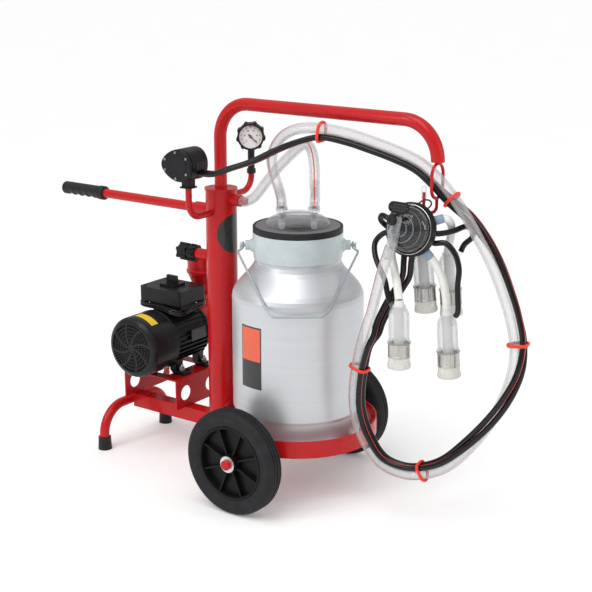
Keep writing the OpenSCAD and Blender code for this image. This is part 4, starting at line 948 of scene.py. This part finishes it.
GRIP_LEN, GRIP_R, GRIP_ROUND = 161, 18.4, 4
GROOVES_FROM, GROOVES_TO, GROOVE_PITCH, GROOVE_DEPTH = 16, 124, 27, 4.2
COLLAR_FROM, COLLAR_TO, COLLAR_R, COLLAR_SIDE_R = 141, 159, 20.2, 19.0
grip_rows, grip_sides = 120, 48
grip_verts, grip_faces = [], []
for row in range(grip_rows + 1):
    x = GRIP_LEN * row / grip_rows
    for k in range(grip_sides):
        a = 2 * math.pi * k / grip_sides
        r = GRIP_R
        if x < GRIP_ROUND:
            r += GRIP_ROUND * (math.sqrt(max(0.0, 1 - (1 - x / GRIP_ROUND) ** 2)) - 1)
        under = max(0.0, -math.sin(a)) ** 0.8
        if GROOVES_FROM < x < GROOVES_TO:
            r -= GROOVE_DEPTH * under * math.sin(math.pi * (x - GROOVES_FROM) / GROOVE_PITCH) ** 2
        if COLLAR_FROM < x < COLLAR_TO:
            r = COLLAR_R
        elif COLLAR_FROM - 4 < x <= COLLAR_FROM or x >= COLLAR_TO:
            r = COLLAR_SIDE_R
        grip_verts.append((x, r * math.cos(a), r * math.sin(a)))
for row in range(grip_rows):
    for k in range(grip_sides):
        m = (k + 1) % grip_sides
        grip_faces.append((row * grip_sides + k, row * grip_sides + m,
                           (row + 1) * grip_sides + m, (row + 1) * grip_sides + k))
grip_faces.append(tuple(range(grip_sides - 1, -1, -1)))
grip_faces.append(tuple(grip_rows * grip_sides + k for k in range(grip_sides)))
grip = piece("grip_sleeve", grip_verts, grip_faces, RUBBER, "cart",
             turn=place((-682, 0, 729)))
weld(grip)
sharp(grip, 50)
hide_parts("handle_grip")

COWL = place((MOTOR_X, -133, MOTOR_Z), x=-90)
COWL_R, COWL_LEN, COWL_ROUND, COWL_WALL = 88, 108, 18, 2
flat_r, inner_round = COWL_R - COWL_ROUND, COWL_ROUND - COWL_WALL
shoulder = [(flat_r + COWL_ROUND * math.cos(a), COWL_ROUND - COWL_ROUND * math.sin(a))
            for a in (math.radians(d) for d in range(0, 91, 9))]
inside = [(flat_r + inner_round * math.cos(a), COWL_ROUND - inner_round * math.sin(a))
          for a in (math.radians(d) for d in range(90, -1, -9))]
cowl_profile = [(COWL_R, COWL_LEN)] + shoulder + inside + [(COWL_R - COWL_WALL, COWL_LEN)]
cowl = lathe("cowl_shell", cowl_profile, COWL, BLACK_PAINT, "cart", angle=40)
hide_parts("fan_cowl")
GRILLE_R, HUB_R, SPOKE_COUNT = 71, 12.5, 8
ring_step = (GRILLE_R - HUB_R) / 5.6
lathe("grille_hub", [(0, -0.4), (11, -0.4), (12.5, 0.8), (12.5, 3), (0, 3)], COWL, BLACK_PAINT,
      "cart", sides=64)
for k in range(6):
    r = HUB_R + ring_step * (k + 0.6)
    lathe("grille_ring_%d" % k, [(r - 1.3, 0.4), (r + 1.3, 0.4), (r + 1.3, 2.8),
                                 (r - 1.3, 2.8)], COWL, BLACK_PAINT, "cart")
spoke_verts, spoke_faces = [], []


def curl(r):
    """How far a spoke has turned at a radius, in degrees."""
    return 34 * (r / GRILLE_R)


SPOKE_STEPS, SPOKE_HALF = 14, 3.2
for k in range(SPOKE_COUNT):
    radii = [12 + (GRILLE_R + 1 - 12) * j / SPOKE_STEPS for j in range(SPOKE_STEPS + 1)]
    for j in range(SPOKE_STEPS):
        ends = []
        for r in (radii[j], radii[j + 1]):
            a = math.radians(45 * k + curl(r))
            ends.append((Vector((r * math.cos(a), r * math.sin(a), 0)),
                         Vector((-math.sin(a), math.cos(a), 0))))
        base = len(spoke_verts)
        for z in (0.0, 3.0):
            for centre_point, across in ends:
                for w in (-SPOKE_HALF, SPOKE_HALF):
                    spoke_verts.append(tuple(centre_point + w * across + Vector((0, 0, z))))
        for quad in ((0, 1, 3, 2), (4, 6, 7, 5), (0, 4, 5, 1), (2, 3, 7, 6), (0, 2, 6, 4),
                     (1, 5, 7, 3)):
            spoke_faces.append(tuple(base + q for q in quad))
piece("grille_spokes", spoke_verts, spoke_faces, BLACK_PAINT, "cart",
      smooth=False, turn=COWL)
bridges = []
for row in range(5):
    r0 = HUB_R + ring_step * (row + 0.6)
    r1 = r0 + ring_step
    between = 2 + row
    for k in range(SPOKE_COUNT):
        for j in range(1, between + 1):
            a = 45 * k + curl((r0 + r1) / 2) + 45 * j / (between + 1)
            bridges.append((rot(z=a), r0, r1, 0.9, 0.6, 2.6))
bars("grille_bridges", bridges, COWL, BLACK_PAINT, "cart")
# A thin black disc behind the grille: painted shade for the dark inside of the cowl.
lathe("cowl_shade_disc", [(0, 14), (70, 14), (70, 14.6), (0, 14.6)], COWL, RUBBER, "cart")
lathe("cowl_seam", [(88, 100.5), (88.6, 101), (88.6, 103), (88, 103.5)], COWL, BLACK_PAINT,
      "cart")
slab("motor_plate", rounded(64, 34, 3), 0, 1.2, place((-230.6, 62, 340), x=90, z=90),
     PLATE_DARK, "cart", bevel=0.3)

# ---- teat cups

LIP = finish_of("cup_mouthpiece", (0.80, 0.79, 0.73), rough=0.3, vary=0.04, bump=0.15,
                bump_scale=250, clear=0.3, ior=1.3)
for i in range(CUP_COUNT):
    at = cup_place(i)
    lathe("cup_mouth_%d" % i, [
        (12, 2), (13, 0.8), (15, 0), (24, 0.2), (27.6, 1.6), (29, 5), (29, 10), (28, 14),
        (27, 18), (26.6, 22), (27.2, 27), (27.5, 30), (13, 30), (10.5, 26), (10.5, 14),
        (12, 12)], at, LIP, "cart", sides=64, angle=50)
    lathe("cup_liner_%d" % i, [
        (10.5, 30), (13, 30), (13, 150), (14.5, 152), (14.5, 157), (12.5, 160), (10.2, 172),
        (7, 172), (10.2, 152)], at, LINER, "cart", sides=48, angle=40)
    lathe("cup_steel_%d" % i, [
        (26.1, 30.1), (27.2, 30.1), (27.6, 30.6), (27.6, 34), (27.2, 34.6), (27.2, 60),
        (27.6, 60.6), (27.6, 63.4), (27.2, 63.9), (26.1, 63.9)], at, STEEL_CUP, "cart",
        sides=64)
    lathe("cup_shell_%d" % i, [
        (26, 64), (28.6, 64), (29, 64.6), (29, 68.4), (28.4, 69), (26, 69.6), (25.8, 120),
        (25, 138), (22, 147), (17.6, 152), (17, 158), (14.6, 158), (14.6, 151), (20, 144),
        (22.8, 136), (23.6, 120), (23.6, 64)], at, CLEAR, "cart", sides=64,
        angle=45)
    bars("cup_notches_%d" % i, [(rot(z=22.5 * k), 28.7, 29.3, 2.4, 65.2, 67.8)
                                for k in range(16)], at, GREY_PRINT, "cart")
    port = spline([cup_port(i, 0), cup_port(i, 17), cup_port(i, 34)], 3)
    tube("cup_port_%d" % i, port, 4.5, CLEAR, "cart", sides=24)
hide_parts("teat_shells")
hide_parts("teat_liners")

# ---- hook sleeve, wheel caps

AXLE_END_Y = 291.8
sleeve = [(545, 0, 838), (545, 0, 850), (545, 0, 868)]
tube("hook_sleeve", spline(sleeve, 3), 6.6, CLEAR, "cart", sides=24)
for side, letter, body in ((-1, "right", "right_wheel"), (1, "left", "left_wheel")):
    centre = place((WHEEL_X, side * WHEEL_Y, WHEEL_Z), x=90)
    for face in (-1, 1):
        lathe("rim_lip_%s_%s" % (letter, "out" if face == side else "in"),
              [(92.5, face * 19.5), (98.9, face * 19.5), (98.9, face * 21.2),
               (97.6, face * 22.4), (93.6, face * 22.2), (92.5, face * 21.0)],
              centre, RIM, body)
    half = [(99, 20), (107, 24), (108.5, 24.9), (110, 24.1), (126, 25.9), (127.6, 25.1),
            (129.2, 25.6), (134, 24), (138, 20.6), (140.2, 16), (141, 13.4), (141, 12.4),
            (138.6, 11.8), (138.6, 10.2), (141, 9.6), (141, 2.4), (138.4, 1.6)]
    tyre = lathe("tyre_" + letter, half + [(r, -y) for r, y in reversed(half)], centre, TYRE,
                 body, sides=144, angle=28)
    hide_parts(letter + "_tyre")
    lathe("axle_cap_" + letter, [(0, 0), (13.6, 0), (13.6, 1.6), (11.8, 3.2), (0, 3.6)],
          aimed((WHEEL_X, side * AXLE_END_Y, WHEEL_Z), (0, side, 0)), RED, "cart",
          sides=48)


# ---- floor and light

floor_mat = finish_of("pale_floor", (0.93, 0.93, 0.93), rough=0.7, vary=0.01, scale=2, bump=0.02,
                      bump_scale=40, specular=0.2)
glow = floor_mat.node_tree.nodes["Principled BSDF"].inputs
glow["Emission Color"].default_value = (1, 1, 1, 1)
glow["Emission Strength"].default_value = 0.1
floor_data = bpy.data.meshes.new("floor")
FLOOR_HALF = 90.0
corners = [(FLOOR_HALF * x, FLOOR_HALF * y, 0) for x, y in ((-1, -1), (1, -1), (1, 1), (-1, 1))]
floor_data.from_pydata(corners, [], [(0, 1, 2, 3)])
floor_data.materials.append(floor_mat)
floor = bpy.data.objects.new("floor", floor_data)
scene.collection.objects.link(floor)

# Plain white light, with a greyer room for reflections so that gloss keeps its shape
world = bpy.data.worlds.new("studio")
world.use_nodes = True
sky_nodes, sky_links = world.node_tree.nodes, world.node_tree.links
sky = sky_nodes["Background"]
sky.inputs["Color"].default_value = (1.0, 1.0, 1.0, 1)
sky.inputs["Strength"].default_value = 0.74
sky_coord = sky_nodes.new("ShaderNodeTexCoord")
sky_split = sky_nodes.new("ShaderNodeSeparateXYZ")
sky_links.new(sky_coord.outputs["Generated"], sky_split.inputs["Vector"])
ramp = sky_nodes.new("ShaderNodeValToRGB")
sky_links.new(sky_split.outputs["Z"], ramp.inputs["Fac"])
ramp.color_ramp.elements[0].position = 0.0
ramp.color_ramp.elements[0].color = (0.60, 0.60, 0.61, 1)
ramp.color_ramp.elements[1].position = 1.0
ramp.color_ramp.elements[1].color = (0.80, 0.80, 0.81, 1)
for at, grey in ((0.22, 0.36), (0.46, 0.44), (0.58, 0.82)):
    stop = ramp.color_ramp.elements.new(at)
    stop.color = (grey, grey, grey, 1)
studio = sky_nodes.new("ShaderNodeBackground")
sky_links.new(ramp.outputs["Color"], studio.inputs["Color"])
path_kind = sky_nodes.new("ShaderNodeLightPath")
choose = sky_nodes.new("ShaderNodeMixShader")
sky_links.new(path_kind.outputs["Is Glossy Ray"], choose.inputs["Fac"])
sky_links.new(sky.outputs["Background"], choose.inputs[1])
sky_links.new(studio.outputs["Background"], choose.inputs[2])
sky_links.new(choose.outputs["Shader"], sky_nodes["World Output"].inputs["Surface"])
scene.world = world


def area_light(name, at, target, width, height, power):
    """A soft box that faces a target."""
    data = bpy.data.lights.new(name, "AREA")
    data.shape = "RECTANGLE"
    data.size = width
    data.size_y = height
    data.energy = power
    obj = bpy.data.objects.new(name, data)
    scene.collection.objects.link(obj)
    obj.location = at
    direction = Vector(target) - Vector(at)
    obj.rotation_euler = direction.to_track_quat("-Z", "Y").to_euler()


sun = bpy.data.lights.new("sun", "SUN")
sun.energy = 0.9
sun.angle = math.radians(40)
sun_obj = bpy.data.objects.new("sun", sun)
scene.collection.objects.link(sun_obj)
sun_obj.rotation_euler = (math.radians(32), math.radians(-12), math.radians(20))
area_light("key", (-1.2, -3.0, 2.2), (0.1, 0, 0.5), 0.5, 1.8, 18)
area_light("side", (3.0, 0.4, 1.8), (0.2, 0, 0.6), 0.4, 1.6, 12)
area_light("top", (0.2, -0.6, 3.2), (0.1, 0, 0.5), 1.6, 0.5, 9)

scene.view_settings.view_transform = "Standard"
